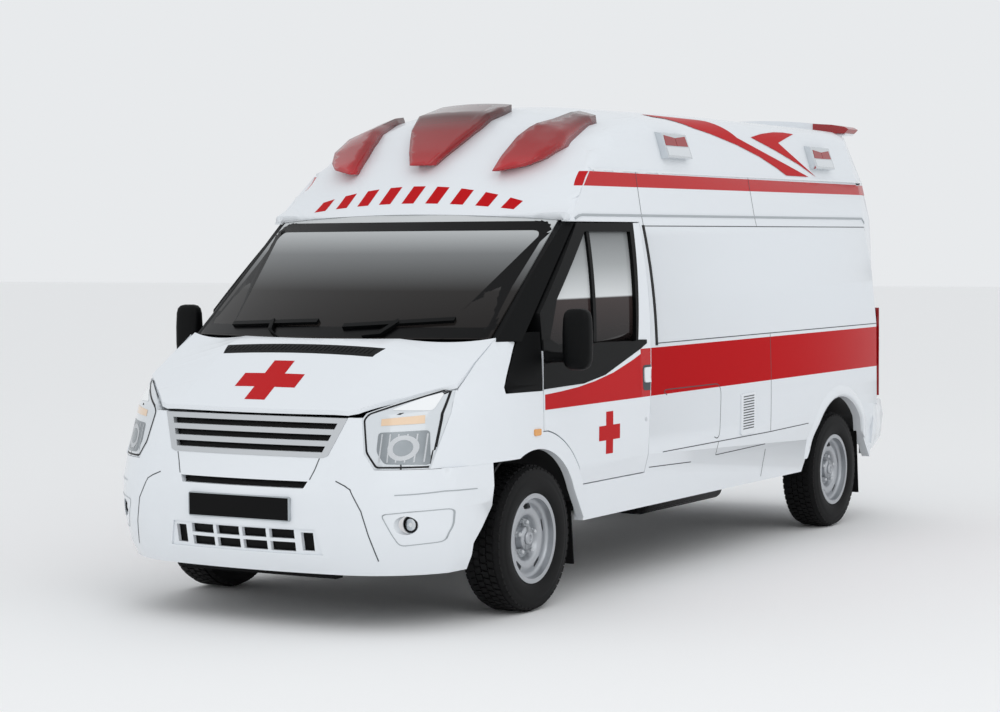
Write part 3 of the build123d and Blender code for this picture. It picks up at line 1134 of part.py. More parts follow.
VENT_COUNT = 5
HUB_GAP = 14                         # hub face this far inside the wheel's middle
VENT_R = 152
for axle_name, station, track in (("front", 0, TRACK_FRONT), ("rear", REAR_AXLE, TRACK_REAR)):
    for side, side_name in ((1, "left"), (-1, "right")):
        hub = Axis((at(station), 0, HUB_Z), (0, 1, 0))
        with BuildPart() as tyre:
            revolve(tyre_profile(side * track / 2, at(station)), axis=hub)
        tyre.part.label = "tyre_" + axle_name + "_" + side_name
        export_step(tyre.part, "parts/tyre_" + axle_name + "_" + side_name + ".step")
        with BuildPart() as wheel:
            revolve(rim_profile(side * track / 2, side, at(station)), axis=hub)
            with BuildSketch(Plane.XZ.offset(-side * (track / 2 + 100))):
                with Locations((at(station), HUB_Z)):
                    with PolarLocations(VENT_R, VENT_COUNT, start_angle=90):
                        RectangleRounded(26, 62, 12)
            extrude(amount=side * 110, mode=Mode.SUBTRACT)
            with BuildSketch(Plane.XZ.offset(-side * (track / 2 + SPINDLE_END + 6))):
                with Locations((at(station), HUB_Z)):
                    Circle(SPINDLE_R + SEAT)
            extrude(amount=side * 110, mode=Mode.SUBTRACT)
        wheel.part.label = "wheel_" + axle_name + "_" + side_name
        export_step(wheel.part, "parts/wheel_" + axle_name + "_" + side_name + ".step")

for side, side_name in ((1, "left"), (-1, "right")):
    with BuildPart() as knuckle:
        with BuildSketch(Plane.XZ.offset(-side * (TRACK_FRONT / 2 - HUB_GAP))):
            with Locations((at(0), HUB_Z)):
                Circle(60)
        extrude(amount=side * (TRACK_FRONT / 2 - HUB_GAP - KINGPIN_Y))
        with BuildSketch(Plane.XZ.offset(-side * (TRACK_FRONT / 2 + SPINDLE_END))):
            with Locations((at(0), HUB_Z)):
                Circle(SPINDLE_R)
        extrude(amount=side * 100)
        with BuildSketch(Plane.XY.offset(ARM_TOP + SEAT)):
            with Locations((at(0), side * KINGPIN_Y)):
                Circle(26)
        extrude(amount=HUB_Z + WHEELHOUSE_R - 1.1 - SEAT - ARM_TOP)
        with BuildSketch(Plane.XY.offset(270)):
            with Locations((at(0), side * (KINGPIN_Y + 6))):
                RectangleRounded(90, 62, 16)
        extrude(amount=170)
    knuckle.part.label = "knuckle_" + side_name
    export_step(knuckle.part, "parts/knuckle_" + side_name + ".step")

# ---- Cab inside --------------------------------------------------------------------------------
with BuildPart() as dashboard:
    with BuildSketch(Plane.XZ.offset(-840)):
        with BuildLine():
            Polyline((at(40 - SEAT), 900), (at(40 - SEAT), COWL_Z + 60), (at(-150), 1262), (at(-330), 1215), (at(-370), 1120),
                     (at(-350), 930), (at(-200), 880), close=True)
        make_face()
    extrude(amount=1680)
dashboard.part.label = "dashboard"
export_step(dashboard.part, "parts/dashboard.step")

WHEEL_Y = 470
with BuildPart() as steering_wheel:
    with BuildSketch(Plane(origin=(at(-520), WHEEL_Y, 1190), x_dir=(0, 1, 0), z_dir=(-0.5, 0, 0.866))):
        Circle(205)
        Circle(175, mode=Mode.SUBTRACT)
        Rectangle(360, 40)
        Circle(60)
    extrude(amount=28)
    with BuildSketch(Plane(origin=(at(-520), WHEEL_Y, 1190), x_dir=(0, 1, 0), z_dir=(-0.5, 0, 0.866))):
        Circle(28)
    extrude(amount=-300)
    add(dashboard.part, mode=Mode.SUBTRACT)
steering_wheel.part.label = "steering_wheel"
export_step(steering_wheel.part, "parts/steering_wheel.step")

SEAT_TOP = 1080
with BuildPart() as cab_seats:
    for y_mid, width in ((WHEEL_Y, 500), (-290, 900)):
        extrude(plan_face(FLOOR_TOP + SEAT, ((-1150, y_mid - width / 2 + 40), (-720, y_mid - width / 2 + 40), (-720, y_mid + width / 2 - 40), (-1150, y_mid + width / 2 - 40))),
                amount=275)
        with BuildSketch(Plane.XZ.offset(-(y_mid + width / 2))):
            with BuildLine():
                FilletPolyline((at(-1210), 930), (at(-660), 950), (at(-650), 1060), (at(-1090), 1040), (at(-1150), 1700), (at(-1250), 1700), radius=25, close=True)
            make_face()
        extrude(amount=width)
cab_seats.part.label = "cab_seats"
export_step(cab_seats.part, "parts/cab_seats.step")
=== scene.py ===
"""Looks of a long high-roofed ambulance van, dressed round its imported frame."""
import json
import math

import bmesh
import bpy
import numpy as np
from bpy.props import FloatProperty, IntProperty, PointerProperty, StringProperty
from mathutils import Matrix, Vector
from mathutils.bvhtree import BVHTree

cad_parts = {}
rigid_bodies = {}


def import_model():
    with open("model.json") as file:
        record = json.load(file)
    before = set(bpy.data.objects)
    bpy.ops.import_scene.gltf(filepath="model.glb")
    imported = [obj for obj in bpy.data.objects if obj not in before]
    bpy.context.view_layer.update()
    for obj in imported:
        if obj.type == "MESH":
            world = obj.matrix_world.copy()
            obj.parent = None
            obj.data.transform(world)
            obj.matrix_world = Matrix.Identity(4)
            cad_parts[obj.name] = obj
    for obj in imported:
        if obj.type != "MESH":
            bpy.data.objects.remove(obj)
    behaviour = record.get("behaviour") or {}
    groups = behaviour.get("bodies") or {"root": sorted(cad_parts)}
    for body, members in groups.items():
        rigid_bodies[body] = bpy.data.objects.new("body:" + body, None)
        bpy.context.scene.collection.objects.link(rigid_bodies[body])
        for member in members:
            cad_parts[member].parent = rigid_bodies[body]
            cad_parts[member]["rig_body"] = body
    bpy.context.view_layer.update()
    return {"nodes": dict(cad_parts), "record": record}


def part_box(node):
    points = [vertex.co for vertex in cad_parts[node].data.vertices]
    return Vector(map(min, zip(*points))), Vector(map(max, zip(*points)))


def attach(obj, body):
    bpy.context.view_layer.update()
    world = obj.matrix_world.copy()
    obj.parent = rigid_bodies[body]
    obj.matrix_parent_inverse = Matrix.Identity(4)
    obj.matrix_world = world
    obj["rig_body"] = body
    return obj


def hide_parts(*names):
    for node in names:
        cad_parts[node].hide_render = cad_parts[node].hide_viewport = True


bl_info = {
    "name": "Ambulance van looks",
    "version": (1, 0, 0),
    "blender": (4, 5, 0),
    "location": "View3D > Sidebar > Ambulance",
    "description": "Paint, markings, glass, lamps and trim of a high-roofed ambulance van",
    "category": "Add Mesh",
}

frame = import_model()
NODES = frame["nodes"]

MM = 0.001
FRONT_AXLE = (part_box("tyre_front_left")[0].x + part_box("tyre_front_left")[1].x) / 2 / MM
REAR_AXLE = (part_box("tyre_rear_left")[0].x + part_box("tyre_rear_left")[1].x) / 2 / MM - FRONT_AXLE
HUB_Z = (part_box("tyre_front_left")[0].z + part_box("tyre_front_left")[1].z) / 2 / MM
FAR = 3000                # mm, beyond the vehicle on every side


# ---- Small tools ---------------------------------------------------------------------------------
def at(station, y, z):
    """Point in metres from a station measured from the front axle, and y and z, all in mm."""
    return Vector(((FRONT_AXLE + station) * MM, y * MM, z * MM))


def linear(code):
    """Linear RGBA of an sRGB hex colour."""
    levels = [int(code[i:i + 2], 16) / 255 for i in (1, 3, 5)]
    return tuple(v / 12.92 if v <= 0.04045 else ((v + 0.055) / 1.055) ** 2.4 for v in levels) + (1.0,)


def add_node(tree, kind, settings=None, links=None):
    """Adds a node, sets its attributes and inputs, and links inputs to other nodes' outputs."""
    node = tree.nodes.new(kind)
    for name, value in (settings or {}).items():
        if isinstance(name, str) and hasattr(node, name):
            setattr(node, name, value)
        else:
            node.inputs[name].default_value = value
    for name, source in (links or {}).items():
        tree.links.new(source, node.inputs[name])
    return node


MATERIALS = {}


def finish_of(name, colour, roughness, metallic=0.0, **extra):
    """A plain material kept under its name; extra sets further inputs of the shader."""
    if name in MATERIALS:
        return MATERIALS[name]
    material = bpy.data.materials.new(name)
    material.use_nodes = True
    shader = material.node_tree.nodes["Principled BSDF"]
    shader.inputs["Base Color"].default_value = linear(colour)
    shader.inputs["Roughness"].default_value = roughness
    shader.inputs["Metallic"].default_value = metallic
    for key, value in extra.items():
        shader.inputs[key.replace("_", " ")].default_value = value
    material.diffuse_color = linear(colour)
    MATERIALS[name] = material
    return material


def grained(material, scale, depth_mm):
    """Gives a moulded finish its fine grain, by a bump a fraction of a millimetre deep."""
    tree = material.node_tree
    place = add_node(tree, "ShaderNodeTexCoord")
    grain = add_node(tree, "ShaderNodeTexNoise", {"Scale": scale, "Detail": 2.0},
                     {"Vector": place.outputs["Object"]})
    bump = add_node(tree, "ShaderNodeBump", {"Strength": 0.5, "Distance": depth_mm * MM},
                    {"Height": grain.outputs[0]})
    tree.links.new(bump.outputs[0], tree.nodes["Principled BSDF"].inputs["Normal"])
    return material


def smooth_by_angle(mesh, degrees):
    """Smooth shading that keeps creases sharper than the angle."""
    mesh.shade_smooth()
    mesh.set_sharp_from_angle(angle=math.radians(degrees))


def body_of(node):
    """Name of the CAD body that a node rides on."""
    return NODES[node]["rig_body"]


def make_object(name, mesh, body):
    """Puts a mesh in the scene and lets it ride on a CAD body."""
    piece = bpy.data.objects.new(name, mesh)
    bpy.context.scene.collection.objects.link(piece)
    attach(piece, body)
    return piece


def mesh_of(name, work, materials, crease=35):
    """Turns a bmesh into a mesh with its materials, shaded smooth between creases."""
    bmesh.ops.recalc_face_normals(work, faces=work.faces)
    mesh = bpy.data.meshes.new(name)
    work.to_mesh(mesh)
    work.free()
    for material in materials:
        mesh.materials.append(material)
    smooth_by_angle(mesh, crease)
    return mesh


def dress(node, material, crease=32):
    """A smoothly shaded copy of a CAD node in its real finish, shown in its place."""
    mesh = NODES[node].data.copy()
    work = bmesh.new()
    work.from_mesh(mesh)
    bmesh.ops.remove_doubles(work, verts=work.verts, dist=0.00002)
    bmesh.ops.dissolve_degenerate(work, edges=work.edges, dist=1e-6)
    work.to_mesh(mesh)
    work.free()
    mesh.materials.clear()
    mesh.materials.append(material)
    smooth_by_angle(mesh, crease)
    piece = make_object("skin_" + node, mesh, body_of(node))
    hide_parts(node)
    return piece


# ---- Films and thin trim laid on the panels --------------------------------------------------------
TREES = {}
VIEWS = {
    "left": (Vector((0, -1, 0)), lambda a, b: at(a, FAR, b)),
    "right": (Vector((0, 1, 0)), lambda a, b: at(a, -FAR, b)),
    "front": (Vector((-1, 0, 0)), lambda a, b: at(FAR, a, b)),
    "rear": (Vector((1, 0, 0)), lambda a, b: at(-FAR - 4000, a, b)),
    "top": (Vector((0, 0, -1)), lambda a, b: at(a, b, FAR)),
    "slope_left": (Vector((0, -0.8, -0.6)), lambda a, b: at(a, 0.8 * FAR - 0.6 * b, 0.6 * FAR + 0.8 * b)),
    "slope_right": (Vector((0, 0.8, -0.6)), lambda a, b: at(a, 0.6 * b - 0.8 * FAR, 0.6 * FAR + 0.8 * b)),
}


def sloped(points):
    """Points (station, distance from the middle, z) as a slope view's flat outline."""
    return [(x, 0.8 * z - 0.6 * y) for x, y, z in points]


def surface_tree(node):
    """Search tree over a CAD node's triangles."""
    if node not in TREES:
        mesh = NODES[node].data
        TREES[node] = BVHTree.FromPolygons([v.co.copy() for v in mesh.vertices],
                                           [tuple(p.vertices) for p in mesh.polygons])
    return TREES[node]


def lay(work, node, view, points, lift, step=60, depth=0.0):
    """Adds a film with a flat outline, seen from one side, laid on a CAD node.

    With a depth it becomes a plate: its top stands at lift and its edge goes depth down."""
    direction, place = VIEWS[view]
    tree = surface_tree(node)
    flat = bmesh.new()
    flat.faces.new([flat.verts.new((a, b, 0)) for a, b in points])
    for k in (0, 1):
        low, high = min(p[k] for p in points), max(p[k] for p in points)
        for cut in np.arange(low + step / 2, high, step):
            normal = (1, 0, 0) if k == 0 else (0, 1, 0)
            place_at = (cut, 0, 0) if k == 0 else (0, cut, 0)
            bmesh.ops.bisect_plane(flat, geom=flat.verts[:] + flat.edges[:] + flat.faces[:],
                                   plane_co=place_at, plane_no=normal)
    bmesh.ops.triangulate(flat, faces=[f for f in flat.faces if len(f.verts) > 4])
    flat.verts.index_update()
    spots = []
    lows = []
    for vertex in flat.verts:
        start = place(vertex.co.x, vertex.co.y)
        hit, normal, _, _ = tree.ray_cast(start, direction)
        if hit is None:
            hit, normal, _, _ = tree.find_nearest(start + direction * 2.0)
        if normal.dot(direction) > 0:
            normal = -normal
        spots.append(work.verts.new(hit + normal * lift * MM))
        if depth:
            lows.append(work.verts.new(hit + normal * (lift - depth) * MM))
    faces = []
    for face in flat.faces:
        corners = [spots[v.index] for v in face.verts]
        made = work.faces.new(corners)
        made.normal_update()
        if made.normal.dot(direction) > 0:
            made.normal_flip()
        faces.append(made)
    if depth:
        for edge in flat.edges:
            if len(edge.link_faces) == 1:
                a, b = (v.index for v in edge.verts)
                work.faces.new((spots[a], spots[b], lows[b], lows[a]))
    flat.free()
    return faces


def film(name, node, pieces, material, lift=0.5, depth=0.0, step=60):
    """One object of several outlines (view, points) laid on one CAD node."""
    work = bmesh.new()
    for view, points in pieces:
        lay(work, node, view, points, lift, step, depth)
    if depth:
        return make_object(name, mesh_of(name, work, [material], 40), body_of(node))
    mesh = bpy.data.meshes.new(name)
    work.to_mesh(mesh)
    work.free()
    mesh.materials.append(material)
    smooth_by_angle(mesh, 40)
    return make_object(name, mesh, body_of(node))


def ribbon(points, width, closed=False):
    """Flat outlines, one for each leg of a line, that together draw it at that width."""
    legs = []
    line = list(points) + ([points[0]] if closed else [])
    for (a0, b0), (a1, b1) in zip(line, line[1:]):
        length = math.hypot(a1 - a0, b1 - b0)
        da, db = (a1 - a0) / length * width / 2, (b1 - b0) / length * width / 2
        legs.append(((a0 - da - db, b0 - db + da), (a0 - da + db, b0 - db - da),
                     (a1 + da + db, b1 + db - da), (a1 + da - db, b1 + db + da)))
    return legs


def lines(name, node, view, runs, width, material, lift=0.5, depth=0.0, step=30):
    """Lines drawn on one CAD node, each run a list of points."""
    return film(name, node, [(view, leg) for run in runs for leg in ribbon(run, width)], material, lift,
                depth, step)


def rounded(points, radius, steps=5):
    """A closed outline whose corners are rounded."""
    out = []
    count = len(points)
    for i in range(count):
        p0, p1, p2 = (Vector(points[(i + k) % count]) for k in (-1, 0, 1))
        u, v = (p0 - p1), (p2 - p1)
        reach = min(radius, u.length / 2.05, v.length / 2.05)
        a, b = p1 + u.normalized() * reach, p1 + v.normalized() * reach
        for k in range(steps + 1):
            t = k / steps
            out.append(tuple(a.lerp(p1, t).lerp(p1.lerp(b, t), t)))
    return out


def disc(a, b, radius, count=24):
    """Points round a circle."""
    return [(a + radius * math.cos(2 * math.pi * k / count), b + radius * math.sin(2 * math.pi * k / count))
            for k in range(count)]


def cross(a, b, arm_a, arm_b, bar_a, bar_b):
    """Outline of a cross: half its spans and half the widths of its bars, along a and b."""
    return [(a + da, b + db) for da,
            db in ((-bar_a, arm_b), (-bar_a, bar_b), (-arm_a, bar_b), (-arm_a, -bar_b),
                                            (-bar_a, -bar_b), (-bar_a, -arm_b), (bar_a, -arm_b),
                                            (bar_a, -bar_b),
                                            (arm_a, -bar_b), (arm_a, bar_b), (bar_a, bar_b), (bar_a, arm_b))]


# ---- Solid bits ------------------------------------------------------------------------------------
def box_into(work, low, high):
    """Adds a box between two corners in metres."""
    made = bmesh.ops.create_cube(work, size=1.0)["verts"]
    middle = (Vector(low) + Vector(high)) / 2
    size = Vector(high) - Vector(low)
    for vertex in made:
        vertex.co = Vector((vertex.co.x * size.x, vertex.co.y * size.y, vertex.co.z * size.z)) + middle
    return made


def drum_into(work, centre, axis, radii, sides=24):
    """Adds a turned form about an axis: radii lists (distance along the axis, radius) in mm."""
    axis = Vector(axis).normalized()
    across = axis.orthogonal().normalized()
    up = axis.cross(across)
    rings = []
    for along, radius in radii:
        ring = []
        for t in (2 * math.pi * k / sides for k in range(sides)):
            spoke = across * math.cos(t) + up * math.sin(t)
            ring.append(work.verts.new(Vector(centre) + axis * along * MM + spoke * radius * MM))
        rings.append(ring)
    for one, two in zip(rings, rings[1:]):
        for k in range(sides):
            work.faces.new((one[k], one[(k + 1) % sides], two[(k + 1) % sides], two[k]))
    work.faces.new(list(reversed(rings[0])))
    work.faces.new(rings[-1])
    return rings


# ---- Geometry Nodes for what repeats ---------------------------------------------------------------
def repeated(name, source, count, material):
    """Copies of one small mesh, turned about the Y axis by a node tree and kept as a plain mesh."""
    seed = bpy.data.objects.new(name + "_seed", source)
    bpy.context.scene.collection.objects.link(seed)
    tree = bpy.data.node_groups.new(name + "_layout", "GeometryNodeTree")
    tree.interface.new_socket("Count", in_out="INPUT", socket_type="NodeSocketInt")
    tree.interface.new_socket("Geometry", in_out="OUTPUT", socket_type="NodeSocketGeometry")
    start = add_node(tree, "NodeGroupInput")
    index = add_node(tree, "GeometryNodeInputIndex")
    points = add_node(tree, "GeometryNodePoints", None, {"Count": start.outputs[0]})
    piece = add_node(tree, "GeometryNodeObjectInfo", {"Object": seed})
    links = {"Points": points.outputs[0], "Instance": piece.outputs["Geometry"]}
    spread = add_node(tree, "GeometryNodeInstanceOnPoints", None, links)
    share = {"operation": "MULTIPLY", 1: 2 * math.pi / count}
    angle = add_node(tree, "ShaderNodeMath", share, {0: index.outputs[0]})
    turn = add_node(tree, "ShaderNodeCombineXYZ", None, {"Y": angle.outputs[0]})
    tree.links.new(turn.outputs[0], spread.inputs["Rotation"])
    real = add_node(tree, "GeometryNodeRealizeInstances", None, {0: spread.outputs[0]})
    coat = add_node(tree, "GeometryNodeSetMaterial", {"Material": material}, {0: real.outputs[0]})
    add_node(tree, "NodeGroupOutput", None, {0: coat.outputs[0]})
    holder = bpy.data.objects.new(name + "_holder", bpy.data.meshes.new(name + "_empty"))
    bpy.context.scene.collection.objects.link(holder)
    modifier = holder.modifiers.new("layout", "NODES")
    modifier.node_group = tree
    modifier[tree.interface.items_tree["Count"].identifier] = count
    graph = bpy.context.evaluated_depsgraph_get()
    mesh = bpy.data.meshes.new_from_object(holder.evaluated_get(graph), preserve_all_data_layers=True,
                                           depsgraph=graph)
    bpy.data.objects.remove(holder)
    bpy.data.objects.remove(seed)
    return mesh


# ---- Finishes --------------------------------------------------------------------------------------
def through(p, q):
    """Slope and offset, in metres, of the line z = slope * x + offset through two (station, z) points."""
    slope = (q[1] - p[1]) / (q[0] - p[0])
    return slope, (p[1] - slope * (FRONT_AXLE + p[0])) * MM


# Each band is a list of (line, sense): the paint is red where every test holds.
BANDS = (
    ((through((-4800, 1205), (200, 1205)), "LESS_THAN"), (through((-4800, 957), (200, 957)), "GREATER_THAN"),
     (through((-1079, 3000), (-1078, 500)), "LESS_THAN")),
    ((through((-4800, 2102), (-763, 2111)), "LESS_THAN"),
     (through((-4800, 2040), (-663, 2036)), "GREATER_THAN"),
     (through((-763, 2111), (-663, 2026)), "LESS_THAN")),
)


def banded_paint(name, base, stripe, roughness):
    """Glossy paint with the vehicle's red bands, placed by height and station along both sides."""
    if name in MATERIALS:
        return MATERIALS[name]
    material = finish_of(name, base, roughness, Coat_Weight=0.1, Coat_Roughness=0.05, Specular_IOR_Level=0.15)
    tree = material.node_tree
    shader = tree.nodes["Principled BSDF"]
    place = add_node(tree, "ShaderNodeTexCoord")
    split = add_node(tree, "ShaderNodeSeparateXYZ", links={0: place.outputs["Object"]})
    x, y, z = (split.outputs[k] for k in range(3))
    geometry = add_node(tree, "ShaderNodeNewGeometry")
    facing = add_node(tree, "ShaderNodeSeparateXYZ", links={0: geometry.outputs["True Normal"]})
    outward = add_node(tree, "ShaderNodeMath", {"operation": "MULTIPLY"}, {0: facing.outputs[1], 1: y})
    side = add_node(tree, "ShaderNodeMath", {"operation": "GREATER_THAN", 1: 0.08}, {0: outward.outputs[0]})
    total = None
    for band in BANDS:
        product = side
        for (slope, offset), sense in band:
            line = add_node(tree, "ShaderNodeMath", {"operation": "MULTIPLY_ADD", 1: slope, 2: offset},
                            {0: x})
            test = add_node(tree, "ShaderNodeMath", {"operation": sense}, {0: z, 1: line.outputs[0]})
            product = add_node(tree, "ShaderNodeMath", {"operation": "MULTIPLY"},
                               {0: product.outputs[0], 1: test.outputs[0]})
        if total is None:
            total = product
        else:
            total = add_node(tree, "ShaderNodeMath", {"operation": "MAXIMUM"},
                             {0: total.outputs[0], 1: product.outputs[0]})
    mix = add_node(tree, "ShaderNodeMix", {"data_type": "RGBA"}, {0: total.outputs[0]})
    mix.inputs[6].default_value = linear(base)
    mix.inputs[7].default_value = linear(stripe)
    tree.links.new(mix.outputs[2], shader.inputs["Base Color"])
    return material


def ramped(name, stops, roughness, **extra):
    """A material whose colour follows the height: stops list (z in mm, hex colour)."""
    if name in MATERIALS:
        return MATERIALS[name]
    material = finish_of(name, stops[0][1], roughness, **extra)
    tree = material.node_tree
    place = add_node(tree, "ShaderNodeTexCoord")
    split = add_node(tree, "ShaderNodeSeparateXYZ", links={0: place.outputs["Object"]})
    low, high = stops[0][0] * MM, stops[-1][0] * MM
    scaled = add_node(tree, "ShaderNodeMapRange", {"From Min": low, "From Max": high},
                      {"Value": split.outputs[2]})
    ramp = add_node(tree, "ShaderNodeValToRGB", None, {0: scaled.outputs[0]})
    points = ramp.color_ramp.elements
    while len(points) < len(stops):
        points.new(0.5)
    for point, (z, colour) in zip(points, stops):
        point.position = (z * MM - low) / (high - low)
        point.color = linear(colour)
    tree.links.new(ramp.outputs[0], tree.nodes["Principled BSDF"].inputs["Base Color"])
    return material


def finishes():
    """All of the vehicle's finishes, by name."""
    if "rubber" in MATERIALS:
        return MATERIALS
    sizes = bpy.context.scene.ambulance_sizes
    # white and red enamel under clear lacquer
    banded_paint("white_enamel", sizes.white, sizes.red, 0.24)
    finish_of("plain_white_enamel", sizes.white, 0.24, Coat_Weight=0.25, Coat_Roughness=0.05)
    finish_of("red_film", sizes.red, 0.4, Specular_IOR_Level=0.1)
    # polypropylene mouldings, grained
    grained(finish_of("black_moulding", "#060708", 0.5, Specular_IOR_Level=0.12), 900.0, 0.15)
    finish_of("gloss_black", "#040405", 0.3, Specular_IOR_Level=0.12)
    finish_of("shut_line", "#4A4E52", 0.8)
    # grey: real grey on the number plate's edge and the drip moulding, and painted shade where it outlines
    # the fog lamp pockets and the bumper's swage
    finish_of("grey_sealer_and_painted_shade", "#A9AFB3", 0.5)
    # toughened and laminated glass with a dark cabin behind; the colour ramps up the panes are partly that
    # dark cabin and partly painted reflection: light painted sky towards the windscreen's top
    ramped("screen_glass", ((1320, "#1D1A19"), (1520, "#2B2928"), (1700, "#77797A"), (1860, "#C9CCCD")), 0.06,
           Specular_IOR_Level=0.12)
    # door glass: dark low down, then a sharp light painted horizon reflection near 1478 mm, with greyer
    # painted sky above
    ramped("door_glass", ((1230, "#0E0B0B"), (1474, "#3A302F"), (1482, "#D9DCDD"), (1640, "#A5A8A9"),
                          (1840, "#6F7273")), 0.06, Specular_IOR_Level=0.12)
    # beacon lenses: red that darkens towards the top of the dome, which is painted shade
    ramped("beacon_lens_painted_shade", ((2080, "#C8222C"), (2200, "#A00C14"), (2330, "#8A0A10"), (2420, "#4E0D0C")), 0.12,
           Coat_Weight=0.3, Coat_Roughness=0.03)
    # acrylic and polycarbonate lenses
    finish_of("red_lens", "#96060D", 0.15, Coat_Weight=0.2, Coat_Roughness=0.05)
    finish_of("amber_lens", "#E39A3C", 0.2, Coat_Weight=1.0, Coat_Roughness=0.05)
    finish_of("pale_amber", "#E8C9A8", 0.2, Coat_Weight=1.0, Coat_Roughness=0.05)
    finish_of("clear_lens", "#D5DADE", 0.1, Coat_Weight=1.0, Coat_Roughness=0.02)
    finish_of("lamp_white", "#F3F5F6", 0.3, Coat_Weight=1.0, Coat_Roughness=0.02)
    # vacuum-plated and polished metals
    finish_of("lamp_reflector", "#8F9599", 0.22, 0.6)
    finish_of("bright_chrome", "#D6DADD", 0.12, 1.0)
    finish_of("satin_silver", "#C2C5C8", 0.34, 0.4)
    finish_of("wheel_silver", "#B3B6BA", 0.38, 0.75)
    finish_of("dark_metal", "#1A1B1D", 0.45, 0.6)
    # tyres, seals and mats
    finish_of("rubber", "#060607", 0.7, Specular_IOR_Level=0.25)
    finish_of("black_paint", "#08080A", 0.5, Specular_IOR_Level=0.25)
    finish_of("cloth", "#2A2B2E", 0.9)
    finish_of("cast_iron", "#3A3B3D", 0.6, 0.5)
    return MATERIALS


SLOT_FINISH = {
    "white_paint": "white_enamel", "white_grp": "white_enamel", "white_bumper": "plain_white_enamel",
    "black_trim": "black_moulding",
    "silver_trim": "satin_silver", "dark_steel": "black_paint", "bare_steel": "dark_metal",
    "cast_metal": "cast_iron",
    "silver_wheel": "wheel_silver", "tyre": "rubber", "rubber": "rubber", "glass": "door_glass",
    "red_lens": "red_lens",
    "lamp_clear": "clear_lens", "mirror_black": "black_moulding", "seat_cloth": "cloth",
    "dash_plastic": "black_moulding",
}
NODE_FINISH = {"windscreen": "screen_glass", "roof_beacons_front": "beacon_lens_painted_shade",
               "number_plate": "gloss_black", "side_flashers": "bright_chrome", "grille": "satin_silver",
               "lower_grille": "plain_white_enamel", "roof_spoiler": "plain_white_enamel"}

CREASES = {"roof_beacons_front": 70}
PLATE_EDGE = 5            # mm, width of the number plate's grey edge
# the line behind a front door's black window frame
FRAME_EDGE = ((-1058, 1238), (-1172, 1860))
SIDE_VIEWS = (("left", 1), ("right", -1))
SWEEP = ((-1932, 556, 2455), (-2451, 690, 2425), (-2704, 776, 2346), (-2985, 795, 2281), (-3276, 815, 2215),
         (-3606, 838, 2138),
         (-3272, 838, 2140), (-3162, 825, 2180), (-2960, 807, 2241), (-2678, 789, 2303), (-2417, 776, 2345),
         (-2175, 758, 2379), (-1991, 716, 2415), (-1876, 662, 2431))
ARROW = ((-2905, 773, 2355), (-3079, 761, 2381), (-3283, 748, 2398), (-3427, 745, 2402), (-3580, 749, 2398),
         (-3285, 779, 2335), (-3726, 838, 2139), (-3503, 816, 2212), (-3209, 793, 2287))
LAMP_EDGE = ((866, 1094), (612, 987), (595, 962), (627, 820), (676, 753), (870, 753), (872, 960))
DOOR_BAND = ((-72, 1030), (-235, 1037), (-405, 1048), (-580, 1068), (-771, 1099), (-990, 1153), (-1081, 1180),
             (-1081, 957), (-72, 957))


class AMBULANCE_PG_sizes(bpy.types.PropertyGroup):
    """Sizes of what the looks add, in millimetres."""

    film: FloatProperty(name="Film lift", description="How far a painted film stands off the panel, mm",
                        default=0.6)
    white: StringProperty(name="Body white", description="Hex colour of the body's enamel", default="#E7EBEF")
    red: StringProperty(name="Marking red", description="Hex colour of the bands, crosses and sweeps",
                        default="#BE0A12")
    seam: FloatProperty(name="Seam width", description="Width of a drawn shut line, mm", default=5.0)
    lugs: IntProperty(name="Tread lugs", description="Lugs in each row of a tyre's tread", default=56)
    tread: FloatProperty(name="Tread depth", description="Depth of the tread, mm", default=7.0)


def recolour(piece, material, planes, rule):
    """Cuts a piece cleanly along planes, and gives another finish to the faces beyond all or any of them."""
    work = bmesh.new()
    work.from_mesh(piece.data)
    for place, normal in planes:
        bmesh.ops.bisect_plane(work, geom=work.verts[:] + work.edges[:] + work.faces[:], plane_co=place,
                               plane_no=normal)
    for face in work.faces:
        middle = face.calc_center_median()
        if rule((middle - place).dot(normal) > 0 for place, normal in planes):
            face.material_index = 1
    work.to_mesh(piece.data)
    work.free()
    piece.data.materials.append(material)


def build_skins(sizes):
    """Every CAD node in its finish."""
    table = finishes()
    slots = {s["node"]: s["material_slot"] for s in frame["record"]["subparts"]}
    for node in NODES:
        if node.startswith(("tyre", "mirror")):
            continue
        finish = table[NODE_FINISH.get(node, SLOT_FINISH[slots[node]])]
        piece = dress(node, finish, CREASES.get(node, 32))
        if node.startswith("cab_door"):
            (x0, z0), (x1, z1) = FRAME_EDGE
            rear = (at(x0, 0, z0), Vector((z1 - z0, 0, x0 - x1)).normalized())
            recolour(piece, table["black_moulding"], ((at(0, 0, z0), Vector((0, 0, 1))), rear), all)
        elif node == "number_plate":
            low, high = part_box(node)
            edge = Vector((0, PLATE_EDGE * MM, PLATE_EDGE * MM))
            planes = [(low + edge, Vector(n)) for n in ((0, -1, 0), (0, 0, -1))]
            planes += [(high - edge, Vector(n)) for n in ((0, 1, 0), (0, 0, 1))]
            recolour(piece, table["grey_sealer_and_painted_shade"], planes, any)


